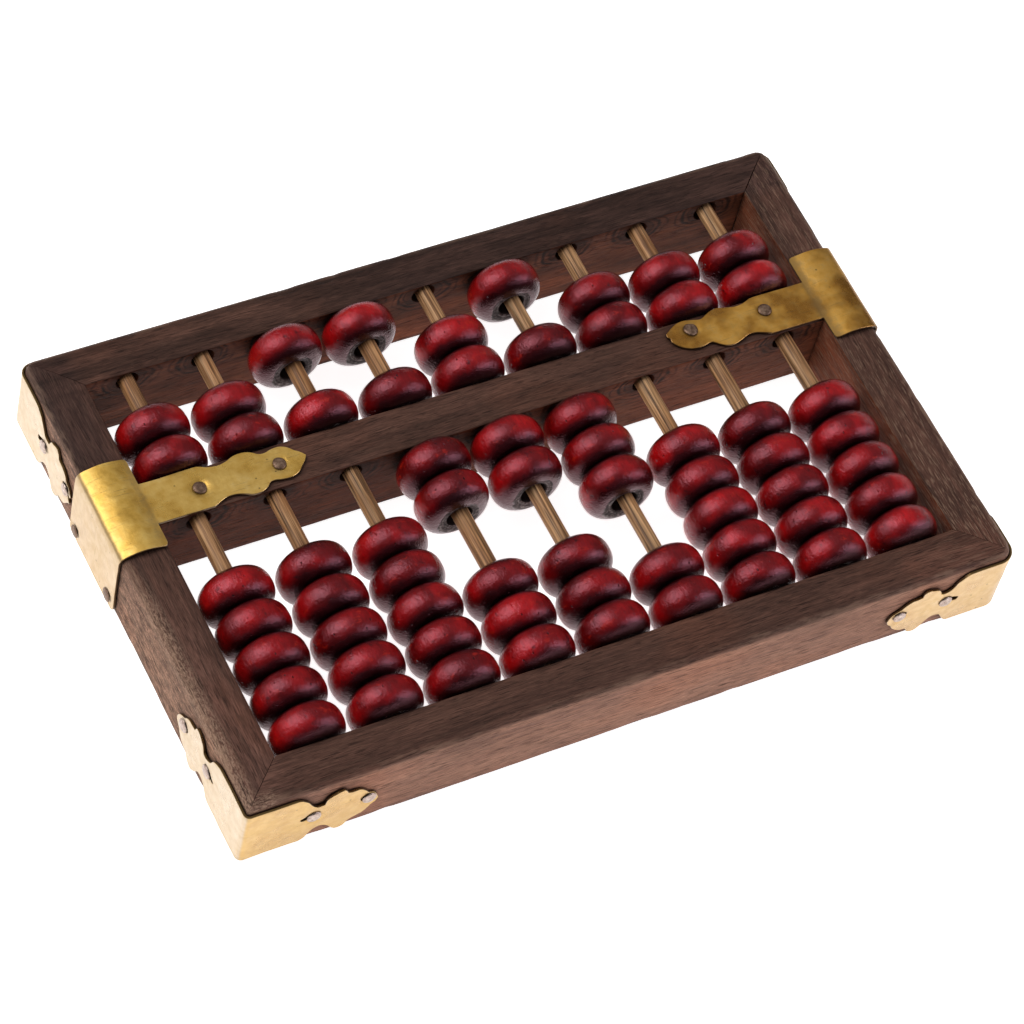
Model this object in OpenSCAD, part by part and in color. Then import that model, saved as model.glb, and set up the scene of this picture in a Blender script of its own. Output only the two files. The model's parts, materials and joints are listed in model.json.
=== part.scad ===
// Nine-rod counting frame with two upper and five lower beads on each rod.
// Units are millimetres. +X runs along the long rails, +Y from the five-bead
// deck to the two-bead deck, +Z up. The origin is the middle of the footprint
// on the surface the frame rests on.

/* [Frame] */
// Length of the wooden frame along X, without the brass
frame_w = 190; // [176:1:204]
// Depth of the wooden frame along Y, without the brass
frame_d = 123; // [120:0.5:132]
// Height of the rails at their crest
rail_h = 20.5; // [19.5:0.1:23]
// Width of the left and right rails
side_w = 11; // [9.5:0.1:12]
// Width of the front and back rails
long_w = 10.7; // [9.5:0.1:11.5]
// How much lower a rail's edges are than its crest
crown = 0.3; // [0.2:0.05:0.5]
// Radius of the rails' outer top edge
arris_out = 1.6; // [1:0.1:2]
// Radius of the frame's upright corners
corner_r = 3; // [2:0.1:4]

/* [Beam] */
// Middle of the dividing beam along Y
beam_y = 16.6; // [14:0.1:18]
// Width of the beam along Y
beam_w = 11.2; // [9.5:0.1:12]

/* [Rods] */
// Diameter of the bamboo rods
rod_d = 3.9; // [3.2:0.1:4.2]
// Depth of the rods' middle line below the rails' crest
rod_drop = 3.5; // [3.4:0.1:4.5]
// Diameter of the worn mouth round each rod hole
mouth_d = 5; // [4.4:0.1:5.4]
// Length of rod held inside the front and back rails
rod_seat = 4; // [3:0.1:6]

/* [Beads] */
// Diameter of a bead at its belt
bead_d = 17.6; // [16.2:0.1:17.8]
// Thickness of a bead along the rod
bead_t = 9.1; // [8.2:0.1:9.3]
// Diameter of a bead's bore
bore_d = 6.2; // [5.4:0.1:6.6]
// Air between the outermost beads and the side rails
side_air = 1.2; // [0.8:0.1:2]

/* [Brass] */
// Thickness of the brass sheet
sheet = 0.6; // [0.4:0.05:0.9]
// Height of the corner plates
plate_h = 17.6; // [17:0.1:18]
// Length of the T-strap's head along the side rail
strap_head = 24.3; // [22:0.1:26]
// Diameter of the nail heads on the corner plates
nail_d = 3; // [2.6:0.1:3.4]
// Diameter of the nail heads on the T-straps
strap_nail_d = 3.3; // [2.8:0.1:3.6]

/* [Hidden] */
$fn = 64;
cut = 1;                          // overshoot of cutting and clipping shapes
clip = 2;                         // overshoot of the shapes that trim the brass
half_w = frame_w / 2;
half_d = frame_d / 2;
in_x = half_w - side_w;           // inner face of the side rails
in_y = half_d - long_w;           // inner face of the front and back rails
deck_z = rail_h - crown;          // top of the beam and of the rails' edges

wood = [0.23, 0.16, 0.13];
red = [0.52, 0.05, 0.07];
bamboo = [0.66, 0.47, 0.26];
brass = [0.80, 0.65, 0.32];
bronze = [0.42, 0.34, 0.29];

// Children at -X, and mirrored to +X.
module both_ends() {
  for (s = [0, 1]) mirror([s, 0, 0]) children();
}

// Children at the -X, -Y corner, and mirrored to the other three.
module four_corners() {
  both_ends() for (s = [0, 1]) mirror([0, s, 0]) children();
}

// ---- rails ----

// Radius of the arc over the top of a rail.
function crown_radius(width) = (width * width / 4 + crown * crown) / (2 * crown);

// Rail cross-section: x = 0 is the outer face, x = width the inner face, y is up.
// grow moves the outer face and the top out, for sheet bent over the rail.
module rail_section(width, grow = 0) {
  crown_r = crown_radius(width);
  intersection() {
    union() {
      translate([-grow, 0]) square([width + grow, rail_h - arris_out]);
      translate([arris_out, 0]) square([width - arris_out, rail_h + grow]);
      translate([arris_out, rail_h - arris_out]) circle(r = arris_out + grow);
    }
    translate([width / 2, rail_h - crown_r]) circle(r = crown_r + grow, $fn = 200);
  }
}

// Footprint of the frame with rounded upright corners.
module footprint(grow = 0) {
  for (s = [-1, 1], t = [-1, 1])
    translate([s * (half_w - corner_r), t * (half_d - corner_r)])
      circle(r = corner_r + grow);
  square([frame_w + 2 * grow, frame_d - 2 * corner_r], center = true);
  square([frame_w - 2 * corner_r, frame_d + 2 * grow], center = true);
}

// Trims the children, a full-length rail, to the mitres and the rounded footprint.
module mitred(plan) {
  intersection() {
    children();
    translate([0, 0, -cut]) linear_extrude(rail_h + 2 * cut) polygon(plan);
    translate([0, 0, -cut]) linear_extrude(rail_h + 2 * cut) footprint();
  }
}

// Long rail at -Y.
module long_rail() {
  difference() {
    mitred([[-half_w, -half_d], [half_w, -half_d], [in_x, -in_y], [-in_x, -in_y]])
      translate([-half_w, -half_d, 0]) rotate([90, 0, 90])
        linear_extrude(frame_w) rail_section(long_w);
    rod_sockets();
    corner_nail_holes();
  }
}

// Side rail at -X.
module side_rail() {
  difference() {
    mitred([[-half_w, -half_d], [-in_x, -in_y], [-in_x, in_y], [-half_w, half_d]])
      translate([-half_w, half_d, 0]) rotate([90, 0, 0])
        linear_extrude(frame_d) rail_section(side_w);
    tenon(tenon_play);
    corner_nail_holes();
    strap_nail_places() nail_hole(rail_hole);
  }
}

module front_rail() { color(wood) long_rail(); }
module back_rail() { color(wood) mirror([0, 1, 0]) long_rail(); }
module left_rail() { color(wood) side_rail(); }
module right_rail() { color(wood) mirror([1, 0, 0]) side_rail(); }

// ---- rods ----

rods = 9;
snug = 0.02;                      // play between a rod and its hole
socket_gap = 0.2;                 // free depth beyond a rod's end
mouth_depth = 0.7;
rod_z = rail_h - rod_drop;
pitch = (2 * in_x - bead_d - 2 * side_air) / (rods - 1);

function rod_x(k) = (k - (rods + 1) / 2) * pitch;

// Children on rod k's middle line at y, their +Z turned to -Y.
module on_rod(k, y) {
  translate([rod_x(k), y, rod_z]) rotate([90, 0, 0]) children();
}

module rod(k) {
  color(bamboo) on_rod(k, in_y + rod_seat)
    cylinder(d = rod_d, h = 2 * (in_y + rod_seat));
}

// Blind rod holes with a wider worn mouth, cut into the rail at -Y.
module rod_sockets() {
  for (k = [1:rods]) on_rod(k, -in_y) translate([0, 0, -cut]) {
    cylinder(d = rod_d + 2 * snug, h = cut + rod_seat + socket_gap);
    cylinder(d = mouth_d, h = cut + mouth_depth);
  }
}

// ---- beam ----

beam_foot = 0.2;                  // height of the beam's underside
tenon_len = 4;
tenon_w = 5;
tenon_h = 11;
tenon_z = 4;                      // underside of the tenons
tenon_root = 1;                   // overlap of a tenon with the beam
tenon_play = 0.05;

// Stub tenon of the beam, at -X. Grown by play, it is the mortise.
module tenon(play = 0) {
  translate([-in_x - tenon_len - play, beam_y - tenon_w / 2 - play, tenon_z - play])
    cube([tenon_len + tenon_root + play, tenon_w + 2 * play, tenon_h + 2 * play]);
}

module beam() {
  color(wood) difference() {
    union() {
      translate([-in_x, beam_y - beam_w / 2, beam_foot])
        cube([2 * in_x, beam_w, deck_z - beam_foot]);
      both_ends() tenon();
    }
    for (k = [1:rods]) on_rod(k, beam_y) {
      cylinder(d = rod_d + 2 * snug, h = beam_w + 2 * cut, center = true);
      for (s = [-1, 1]) translate([0, 0, s * beam_w / 2])
        cylinder(d = mouth_d, h = 2 * mouth_depth, center = true);
    }
    both_ends() strap_nail_places() nail_hole(beam_hole);
  }
}

// ---- beads ----

earth_beads = 5;                  // lower beads on each rod
air = 0.05;                       // play between touching beads
bore_gap = 0.04;                  // play between a rod's top and the bore
bead_z = rod_z - (bore_d - rod_d) / 2 + bore_gap;
rim_r = bead_t / 2;               // radius of a bead's rounded rim
rim_x = bead_d / 2 - rim_r;       // distance of the rim's arc centre from the bore's axis
seam = 0.01;                      // overlap of a bead's core and rim

// For each rod: 1 where the two upper beads stand apart
split = [0, 0, 1, 1, 0, 1, 0, 0, 0];
// For each rod: number of lower beads pushed to the beam
raised = [0, 0, 0, 2, 2, 3, 0, 0, 0];

// One bead on rod k with its middle at y.
module bead(k, y) {
  color(red) translate([rod_x(k), y, bead_z]) rotate([90, 0, 0])
    rotate_extrude() {
      intersection() {
        translate([rim_x, 0]) circle(r = rim_r);
        translate([rim_x, -rim_r - cut]) square([rim_r + cut, 2 * (rim_r + cut)]);
      }
      translate([bore_d / 2, -rim_r]) square([rim_x - bore_d / 2 + seam, bead_t]);
    }
}

// Distance from a stop to the middle of the n-th bead stacked against it.
function stacked(n) = air + bead_t / 2 + (n - 1) * (bead_t + air);

// Middle of the n-th bead counted from the front rail or from the beam.
function earth_low(n) = -in_y + stacked(n);
function earth_high(n) = beam_y - beam_w / 2 - stacked(n);
function heaven_low(n) = beam_y + beam_w / 2 + stacked(n);

// Upper-deck bead nearest the beam.
module heaven_a(k) { bead(k, heaven_low(1)); }

// Upper-deck bead nearest the back rail.
module heaven_b(k) { bead(k, split[k - 1] == 1 ? in_y - stacked(1) : heaven_low(2)); }

// Lower-deck beads pushed up to the beam or, where there are none, the top one.
module earth_a(k) {
  if (raised[k - 1] > 0) for (n = [1:raised[k - 1]]) bead(k, earth_high(n));
  else bead(k, earth_low(earth_beads));
}

// The rest of the lower-deck beads, resting against the front rail.
module earth_b(k) {
  for (n = [1:earth_beads - max(raised[k - 1], 1)]) bead(k, earth_low(n));
}

// ---- scalloped brass outlines ----

// Discs [x, y, radius], each also mirrored across the x axis.
module paired_discs(discs) {
  for (s = [-1, 1], disc = discs) translate([disc[0], s * disc[1]]) circle(r = disc[2]);
}

// Outline along +x, symmetric about the x axis, with nail holes on the axis.
// bars: [start x, length, width]; lobes and notches: paired discs;
// tip: [x, radius] of the end disc; point: [x, side] of the diamond; nails: x.
module scalloped(bars, lobes, tip, point, notches, nails) {
  difference() {
    union() {
      for (bar = bars) translate([bar[0], -bar[2] / 2]) square([bar[1], bar[2]]);
      paired_discs(lobes);
      translate([tip[0], 0]) circle(r = tip[1]);
      translate([point[0], 0]) rotate(45) square(point[1], center = true);
    }
    paired_discs(notches);
    for (x = nails) translate([x, 0]) circle(r = hole_r);
  }
}

// ---- corner plates ----

plate_z = 0.7 + plate_h / 2;      // middle height, the lower edge being at 0.7
wrap = 13.5;                      // reach of the full-height part from the corner
plate_nails = [16.2, 28.4];       // nail distances from the corner

// Scalloped end: x is the distance from the corner, y the height from plate_z.
module plate_end() {
  scalloped(
    bars = [[13, 1.6, plate_h], [13, 12.5, 10.4]],
    lobes = [[22.4, 3, 4.4], [28, 2.5, 2.2]],
    tip = [27.4, 4],
    point = [30.2, 2.6],
    notches = [[17, plate_h / 2 - 0.6, 3.3], [25.9, 6.3, 1.4]],
    nails = plate_nails);
}

// Corner plate at -X, -Y: a sheet wrapped round the upright corner.
module corner_plate() {
  translate([0, 0, plate_z - plate_h / 2]) linear_extrude(plate_h) intersection() {
    difference() {
      footprint(sheet);
      footprint();
    }
    translate([-half_w - clip, -half_d - clip]) square(wrap + clip);
  }
  translate([-half_w, -half_d, plate_z]) {
    rotate([90, 0, 0]) linear_extrude(sheet) plate_end();
    rotate([90, 0, 90]) mirror([0, 0, 1]) linear_extrude(sheet) plate_end();
  }
}

module corner_plate_fl() { color(brass) corner_plate(); }
module corner_plate_fr() { color(brass) mirror([1, 0, 0]) corner_plate(); }
module corner_plate_bl() { color(brass) mirror([0, 1, 0]) corner_plate(); }
module corner_plate_br() { color(brass) mirror([1, 0, 0]) mirror([0, 1, 0]) corner_plate(); }

// ---- T-straps ----

strap_y = beam_y + 0.6;           // middle of the head, slightly off the beam's
strap_foot = 0.5;                 // lower edge of the head on the outer face
top_round = 1.8;                  // radius of the head's corners in plan
foot_round = 2;                   // radius of its corners on the outer face
foot_cut = 0.5;                   // reach of the lower corner cut past the outer face
arm_nails = [12.3, 31.5];         // nail distances from the rail's inner face
// Thickness of the arm, level with the head's inner edge
arm_t = rail_h - crown_radius(side_w)
  + sqrt(pow(crown_radius(side_w) + sheet, 2) - side_w * side_w / 4) - deck_z;

// Arm in plan: x is the distance from the rail's inner face.
module arm_outline() {
  scalloped(
    bars = [[0, 12.9, 11], [12, 19.5, 8.2]],
    lobes = [[23.3, 1.5, 4]],
    tip = [31.6, 4.3],
    point = [34.9, 3.8],
    notches = [[17, 7.9, 3.9], [27.7, 5.4, 1.9]],
    nails = arm_nails);
}

// Waste round a rounded corner at the origin; x_side and y_side point to the metal.
module corner_waste(radius, x_side, y_side) {
  difference() {
    square(2 * radius, center = true);
    translate([x_side * radius, y_side * radius]) circle(r = radius);
  }
}

// T-strap at -X: the head folds over the side rail and down its outer face,
// the arm lies on the beam.
module strap() {
  difference() {
    translate([-half_w, strap_y + strap_head / 2, 0]) rotate([90, 0, 0])
      linear_extrude(strap_head) intersection() {
        difference() {
          rail_section(side_w, sheet);
          rail_section(side_w);
        }
        translate([-clip, strap_foot]) square([side_w + clip, rail_h + clip]);
      }
    for (s = [-1, 1]) translate([0, strap_y + s * strap_head / 2, 0]) {
      translate([-in_x, 0, rail_h - clip])
        linear_extrude(2 * clip) corner_waste(top_round, -1, -s);
      translate([-half_w - clip, 0, strap_foot]) rotate([90, 0, 90])
        linear_extrude(clip + foot_cut) corner_waste(foot_round, -s, 1);
    }
    strap_side_nail_places() nail_hole(strap_hole);
  }
  translate([-in_x, beam_y, deck_z]) linear_extrude(arm_t) arm_outline();
}

module strap_left() { color(brass) strap(); }
module strap_right() { color(brass) mirror([1, 0, 0]) strap(); }

// ---- nails ----

shank_r = 0.55;
hole_r = shank_r + 0.05;
head_rim = 0.3;                   // height of a head's straight rim
head_dome = 0.25;                 // height of its tapered top
head_taper = 0.7;                 // loss of diameter over the taper
plate_nail_depth = 3.2;           // shank depth below the sheet
strap_nail_depth = 1.6;
rail_hole = 3.6;                  // depths of the nail holes
beam_hole = 2.2;
strap_hole = 1;
nick = 0.1;                       // extra hole depth, and shank overlap with the head
side_nail_y = 8.9;                // side nails' distance from strap_y
side_nail_z = 3.6;

// A nail pointing along -Z through sheet that lies on z = 0.
module nail(head_d, depth) {
  shank = depth + sheet;
  translate([0, 0, sheet]) {
    cylinder(d = head_d, h = head_rim);
    translate([0, 0, head_rim]) cylinder(d1 = head_d, d2 = head_d - head_taper, h = head_dome);
    translate([0, 0, -shank]) cylinder(r = shank_r, h = shank + nick);
  }
}

module nail_hole(depth) {
  translate([0, 0, -depth - nick]) cylinder(r = hole_r, h = depth + 2);
}

// Nail places at the -X, -Y corner, on the wood's faces.
module corner_nail_places() {
  for (s = plate_nails) {
    translate([-half_w + s, -half_d, plate_z]) rotate([90, 0, 0]) children();
    translate([-half_w, -half_d + s, plate_z]) rotate([0, -90, 0]) children();
  }
}

module corner_nail_holes() {
  four_corners() corner_nail_places() nail_hole(rail_hole);
}

// Nail places of the strap at -X, low on the rail's outer face.
module strap_side_nail_places() {
  for (s = [-1, 1])
    translate([-half_w, strap_y + s * side_nail_y, side_nail_z]) rotate([0, -90, 0]) children();
}

// All nail places of the strap at -X: two on the arm, two on the outer face.
module strap_nail_places() {
  for (x = arm_nails) translate([-in_x + x, beam_y, deck_z + arm_t - sheet]) children();
  strap_side_nail_places() children();
}

module corner_nails() {
  color(bronze) four_corners() corner_nail_places() nail(nail_d, plate_nail_depth);
}

module strap_nails() {
  color(bronze) both_ends() strap_nail_places() nail(strap_nail_d, strap_nail_depth);
}

front_rail();
back_rail();
left_rail();
right_rail();
beam();
rod(1);  // rod_1
rod(2);  // rod_2
rod(3);  // rod_3
rod(4);  // rod_4
rod(5);  // rod_5
rod(6);  // rod_6
rod(7);  // rod_7
rod(8);  // rod_8
rod(9);  // rod_9
corner_plate_fl();
corner_plate_fr();
corner_plate_bl();
corner_plate_br();
strap_left();
strap_right();
corner_nails();
strap_nails();
heaven_a(1);  // heaven_1a
heaven_b(1);  // heaven_1b
heaven_a(2);  // heaven_2a
heaven_b(2);  // heaven_2b
heaven_a(3);  // heaven_3a
heaven_b(3);  // heaven_3b
heaven_a(4);  // heaven_4a
heaven_b(4);  // heaven_4b
heaven_a(5);  // heaven_5a
heaven_b(5);  // heaven_5b
heaven_a(6);  // heaven_6a
heaven_b(6);  // heaven_6b
heaven_a(7);  // heaven_7a
heaven_b(7);  // heaven_7b
heaven_a(8);  // heaven_8a
heaven_b(8);  // heaven_8b
heaven_a(9);  // heaven_9a
heaven_b(9);  // heaven_9b
earth_a(1);  // earth_1a
earth_b(1);  // earth_1b
earth_a(2);  // earth_2a
earth_b(2);  // earth_2b
earth_a(3);  // earth_3a
earth_b(3);  // earth_3b
earth_a(4);  // earth_4a
earth_b(4);  // earth_4b
earth_a(5);  // earth_5a
earth_b(5);  // earth_5b
earth_a(6);  // earth_6a
earth_b(6);  // earth_6b
earth_a(7);  // earth_7a
earth_b(7);  // earth_7b
earth_a(8);  // earth_8a
earth_b(8);  // earth_8b
earth_a(9);  // earth_9a
earth_b(9);  // earth_9b
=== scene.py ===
"""A wooden abacus with red beads on bamboo rods and brass fittings.

It lies flat on the floor, centred on the origin: X runs left (-) to right (+) along the long
rails, Y front (-) to back (+) along the rods, Z up. Lengths are millimetres until a mesh is
made, and metres in the scene, in bump and crevice distances, and for the lights and camera.
"""
import json
import math

import bmesh
import bpy
import numpy as np
from mathutils import Matrix, Vector
from mathutils.geometry import delaunay_2d_cdt


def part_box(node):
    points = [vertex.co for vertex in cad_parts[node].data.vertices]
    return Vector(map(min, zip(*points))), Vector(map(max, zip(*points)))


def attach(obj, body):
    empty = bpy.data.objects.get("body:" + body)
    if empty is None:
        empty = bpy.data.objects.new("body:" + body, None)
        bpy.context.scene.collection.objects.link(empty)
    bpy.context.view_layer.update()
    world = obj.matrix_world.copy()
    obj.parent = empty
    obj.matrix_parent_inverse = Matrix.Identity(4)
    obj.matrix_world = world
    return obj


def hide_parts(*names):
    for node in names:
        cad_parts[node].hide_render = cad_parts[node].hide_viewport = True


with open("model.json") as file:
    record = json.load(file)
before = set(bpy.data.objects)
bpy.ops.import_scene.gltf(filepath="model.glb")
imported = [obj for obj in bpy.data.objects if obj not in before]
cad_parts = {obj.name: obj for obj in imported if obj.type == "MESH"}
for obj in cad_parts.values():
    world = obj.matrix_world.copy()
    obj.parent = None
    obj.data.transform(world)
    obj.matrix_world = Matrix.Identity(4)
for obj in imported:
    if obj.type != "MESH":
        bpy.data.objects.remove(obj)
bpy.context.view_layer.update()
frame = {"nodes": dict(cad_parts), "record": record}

MM = 0.001
scene = bpy.context.scene
nodes = frame["nodes"]


def box(node):
    """Lowest and highest corner of a CAD node in millimetres."""
    lo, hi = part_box(node)
    return np.array(lo) / MM, np.array(hi) / MM


# ---------------------------------------------------------------- sizes, from the CAD frame
left_lo, left_hi = box("left_rail")
front_lo, front_hi = box("front_rail")
beam_lo, beam_hi = box("beam")
plate_lo, plate_hi = box("corner_plate_fl")
strap_lo, strap_hi = box("strap_left")
bead_lo, bead_hi = box("heaven_1a")

HALF_W, SIDE_W = -left_lo[0], left_hi[0] - left_lo[0]       # half the frame in X, side rail width
HALF_D, LONG_W = -front_lo[1], front_hi[1] - front_lo[1]    # half the frame in Y, long rail width
IN_X, IN_Y = HALF_W - SIDE_W, HALF_D - LONG_W               # the opening's half sizes
RAIL_H, DECK_Z = front_hi[2], beam_hi[2]                    # crown of the rails, top of the beam
CROWN = RAIL_H - DECK_Z
BEAM_F, BEAM_B = beam_lo[1], beam_hi[1]
BEAM_Y = (BEAM_F + BEAM_B) / 2
SHEET = -HALF_W - plate_lo[0]                               # brass thickness
PLATE_LOW, PLATE_TOP = plate_lo[2], plate_hi[2]
HEAD_F, HEAD_B = strap_lo[1], strap_hi[1]                   # front and back of a strap's head
BEAD_T, BEAD_R = bead_hi[1] - bead_lo[1], (bead_hi[0] - bead_lo[0]) / 2
BORE_R = 3.1
# plan radius of each upright corner, by the signs of x and y; the front left is the sharpest
RADII = {(-1, -1): 0.7, (1, -1): 3.5, (-1, 1): 2.8, (1, 1): 3.0}

rods = []   # x, front end, back end, z, radius
for k in range(1, 10):
    lo, hi = box(f"rod_{k}")
    rods.append(((lo[0] + hi[0]) / 2, lo[1], hi[1], (lo[2] + hi[2]) / 2, (hi[0] - lo[0]) / 2))
PITCH = rods[1][0] - rods[0][0]
ROD_Z = rods[0][3]

body_of = {}
for body, members in frame["record"]["behaviour"]["bodies"].items():
    for member in members:
        body_of[member] = body


# ---------------------------------------------------------------- numbers
noise_tables = {}


def noise(at, seed):
    """Smooth value noise in -1..1 at the rows of at, one cell per unit."""
    size = 32
    if seed not in noise_tables:
        noise_tables[seed] = np.random.default_rng(seed).uniform(-1, 1, (size, size, size))
    cell = np.floor(at).astype(int)
    part = at - cell
    part = part * part * (3 - 2 * part)
    total = np.zeros(len(at))
    for corner in np.ndindex(2, 2, 2):
        weight = np.where(corner, part, 1 - part)
        i, j, k = ((cell + corner) % size).T
        total += weight[:, 0] * weight[:, 1] * weight[:, 2] * noise_tables[seed][i, j, k]
    return total


def smooth(x, start, end):
    t = np.clip((np.asarray(x, float) - start) / (end - start), 0, 1)
    return t * t * (3 - 2 * t)


def arc(cx, cy, radius, start, end, count):
    """Points on an arc, angles in degrees."""
    return [(cx + radius * math.cos(math.radians(a)), cy + radius * math.sin(math.radians(a)))
            for a in np.linspace(start, end, count)]


def around(count):
    """Evenly spaced angles over a full turn."""
    return np.linspace(0, 2 * math.pi, count, endpoint=False)


def spline(p0, p1, p2, p3, t):
    """Catmull-Rom curve from p1 (t = 0) to p2 (t = 1)."""
    return 0.5 * (2 * p1 + (p2 - p0) * t + (2 * p0 - 5 * p1 + 4 * p2 - p3) * t ** 2
                  + (3 * p1 - p0 - 3 * p2 + p3) * t ** 3)


def with_normals(outline):
    """The anticlockwise outline as an array, and its outward unit normals."""
    outline = np.array(outline)
    run = np.roll(outline, -1, 0) - np.roll(outline, 1, 0)
    normals = np.stack([run[:, 1], -run[:, 0]], 1)
    return outline, normals / np.linalg.norm(normals, axis=1)[:, None]


# ---------------------------------------------------------------- meshes
def new_object(name, mesh):
    ob = bpy.data.objects.new(name, mesh)
    scene.collection.objects.link(ob)
    return ob


def mesh_object(name, verts, faces):
    """A closed mesh from points in millimetres."""
    mesh = bpy.data.meshes.new(name)
    mesh.from_pydata((np.asarray(verts, float) * MM).tolist(), [], faces)
    bm = bmesh.new()
    bm.from_mesh(mesh)
    bmesh.ops.recalc_face_normals(bm, faces=bm.faces[:])
    bm.to_mesh(mesh)
    bm.free()
    return new_object(name, mesh)


def tube_faces(rows, cols, offset=0):
    """Quads over rings of points, with a cap at each end."""
    faces = []
    for i in range(rows - 1):
        ring = offset + i * cols
        for j in range(cols):
            k = (j + 1) % cols
            faces.append((ring + j, ring + k, ring + cols + k, ring + cols + j))
    last = offset + (rows - 1) * cols
    return faces + [list(range(offset, offset + cols)), list(range(last, last + cols))]


def points(ob):
    co = np.zeros(len(ob.data.vertices) * 3)
    ob.data.vertices.foreach_get("co", co)
    return co.reshape(-1, 3) / MM


def put_vector(ob, name, values):
    attribute = ob.data.attributes.new(name, "FLOAT_VECTOR", "POINT")
    attribute.data.foreach_set("vector", np.asarray(values, np.float32).ravel())


def cut(ob, cutter):
    """Takes cutter out of ob, and removes cutter."""
    boolean = ob.modifiers.new("cut", "BOOLEAN")
    boolean.operation, boolean.solver, boolean.object = "DIFFERENCE", "EXACT", cutter
    graph = bpy.context.evaluated_depsgraph_get()
    mesh = bpy.data.meshes.new_from_object(ob.evaluated_get(graph))
    ob.modifiers.clear()
    old, ob.data = ob.data, mesh
    bpy.data.meshes.remove(old)
    old = cutter.data
    bpy.data.objects.remove(cutter)
    bpy.data.meshes.remove(old)


def register(ob, body, stands_for, material, angle=35):
    """Gives ob its material and shading, parents it to its body, and hides the CAD part it stands
    for.
    """
    mesh = ob.data
    mesh.materials.clear()
    mesh.materials.append(material)
    mesh.polygons.foreach_set("use_smooth", [True] * len(mesh.polygons))
    mesh.set_sharp_from_angle(angle=math.radians(angle))
    mesh.update()
    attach(ob, body)
    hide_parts(stands_for)


# ---------------------------------------------------------------- shader expressions
def put(tree, socket, value):
    if isinstance(value, Value):
        tree.links.new(value.socket, socket)
    elif socket.type == "RGBA":
        socket.default_value = (*value, 1)
    else:
        socket.default_value = value


def add_node(tree, kind, inputs=(), out=0, **settings):
    """Adds a node and returns one output. inputs: values in order, or a dict by name or index."""
    node = tree.nodes.new(kind)
    for key, value in settings.items():
        setattr(node, key, value)
    for key, value in inputs.items() if isinstance(inputs, dict) else enumerate(inputs):
        put(tree, node.inputs[key], value)
    return Value(tree, node.outputs[out])


class Value:
    """A node's output that takes part in arithmetic. A tuple operand makes it vector arithmetic."""

    def __init__(self, tree, socket):
        self.tree, self.socket = tree, socket

    def node(self, kind, inputs=(), out=0, **settings):
        return add_node(self.tree, kind, inputs, out, **settings)

    def vec(self, op, other):
        return self.node("ShaderNodeVectorMath", (self, other), operation=op)

    def calc(self, op, other=0.0):
        if isinstance(other, tuple):
            return self.vec(op, other)
        return self.node("ShaderNodeMath", (self, other, 0.0), operation=op)

    def __add__(self, other):
        return self.calc("ADD", other)

    def __radd__(self, other):
        return self.node("ShaderNodeMath", (other, self, 0.0), operation="ADD")

    def __sub__(self, other):
        return self.calc("SUBTRACT", other)

    def __mul__(self, other):
        return self.calc("MULTIPLY", other)

    def __truediv__(self, other):
        return self.calc("DIVIDE", other)

    def __abs__(self):
        return self.calc("ABSOLUTE")

    def length(self):
        return self.node("ShaderNodeVectorMath", (self,), out=1, operation="LENGTH")

    def split(self):
        first = self.node("ShaderNodeSeparateXYZ", (self,))
        return [Value(self.tree, socket) for socket in first.socket.node.outputs]

    def times(self, factor):
        """This colour multiplied by one number."""
        return self.vec("MULTIPLY", self.node("ShaderNodeCombineXYZ", (factor,) * 3))

    def mix(self, colour, other):
        """From colour where this value is 0 to other where it is 1."""
        return self.node("ShaderNodeMix", {0: self, 6: colour, 7: other}, out=2,
                         data_type="RGBA", clamp_factor=True)

    def tint(self, mask, multiplier):
        """This colour, multiplied channel by channel where mask is 1."""
        return mask.mix(self, self * multiplier)

    def step(self, start, end, low=0.0, high=1.0):
        """Smooth change from low at start to high at end; start may be the larger."""
        return self.node("ShaderNodeMapRange", (self, start, end, low, high),
                         interpolation_type="SMOOTHSTEP")

    def noise(self, frequency, detail=2.0, rough=0.5, distort=0.0, out=0):
        """Noise at this place. frequency: cycles per unit, one number or one for each axis."""
        at = self
        if isinstance(frequency, tuple):
            at, frequency = self * frequency, 1.0
        return self.node("ShaderNodeTexNoise", {
            "Vector": at, "Scale": frequency, "Detail": detail,
            "Roughness": rough, "Distortion": distort}, out)

    def cells(self, scale):
        """Distance to the nearest of a scatter of points."""
        return self.node("ShaderNodeTexVoronoi", {"Vector": self, "Scale": scale}, "Distance")

    def ramp(self, stops):
        """Colour by value. stops: (value, colour), rising."""
        result = self.node("ShaderNodeValToRGB", (self,))
        elements = result.socket.node.color_ramp.elements
        while len(elements) > 1:
            elements.remove(elements[-1])
        elements[0].position, elements[0].color = stops[0][0], (*stops[0][1], 1)
        for position, colour in stops[1:]:
            elements.new(position).color = (*colour, 1)
        return result


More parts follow.
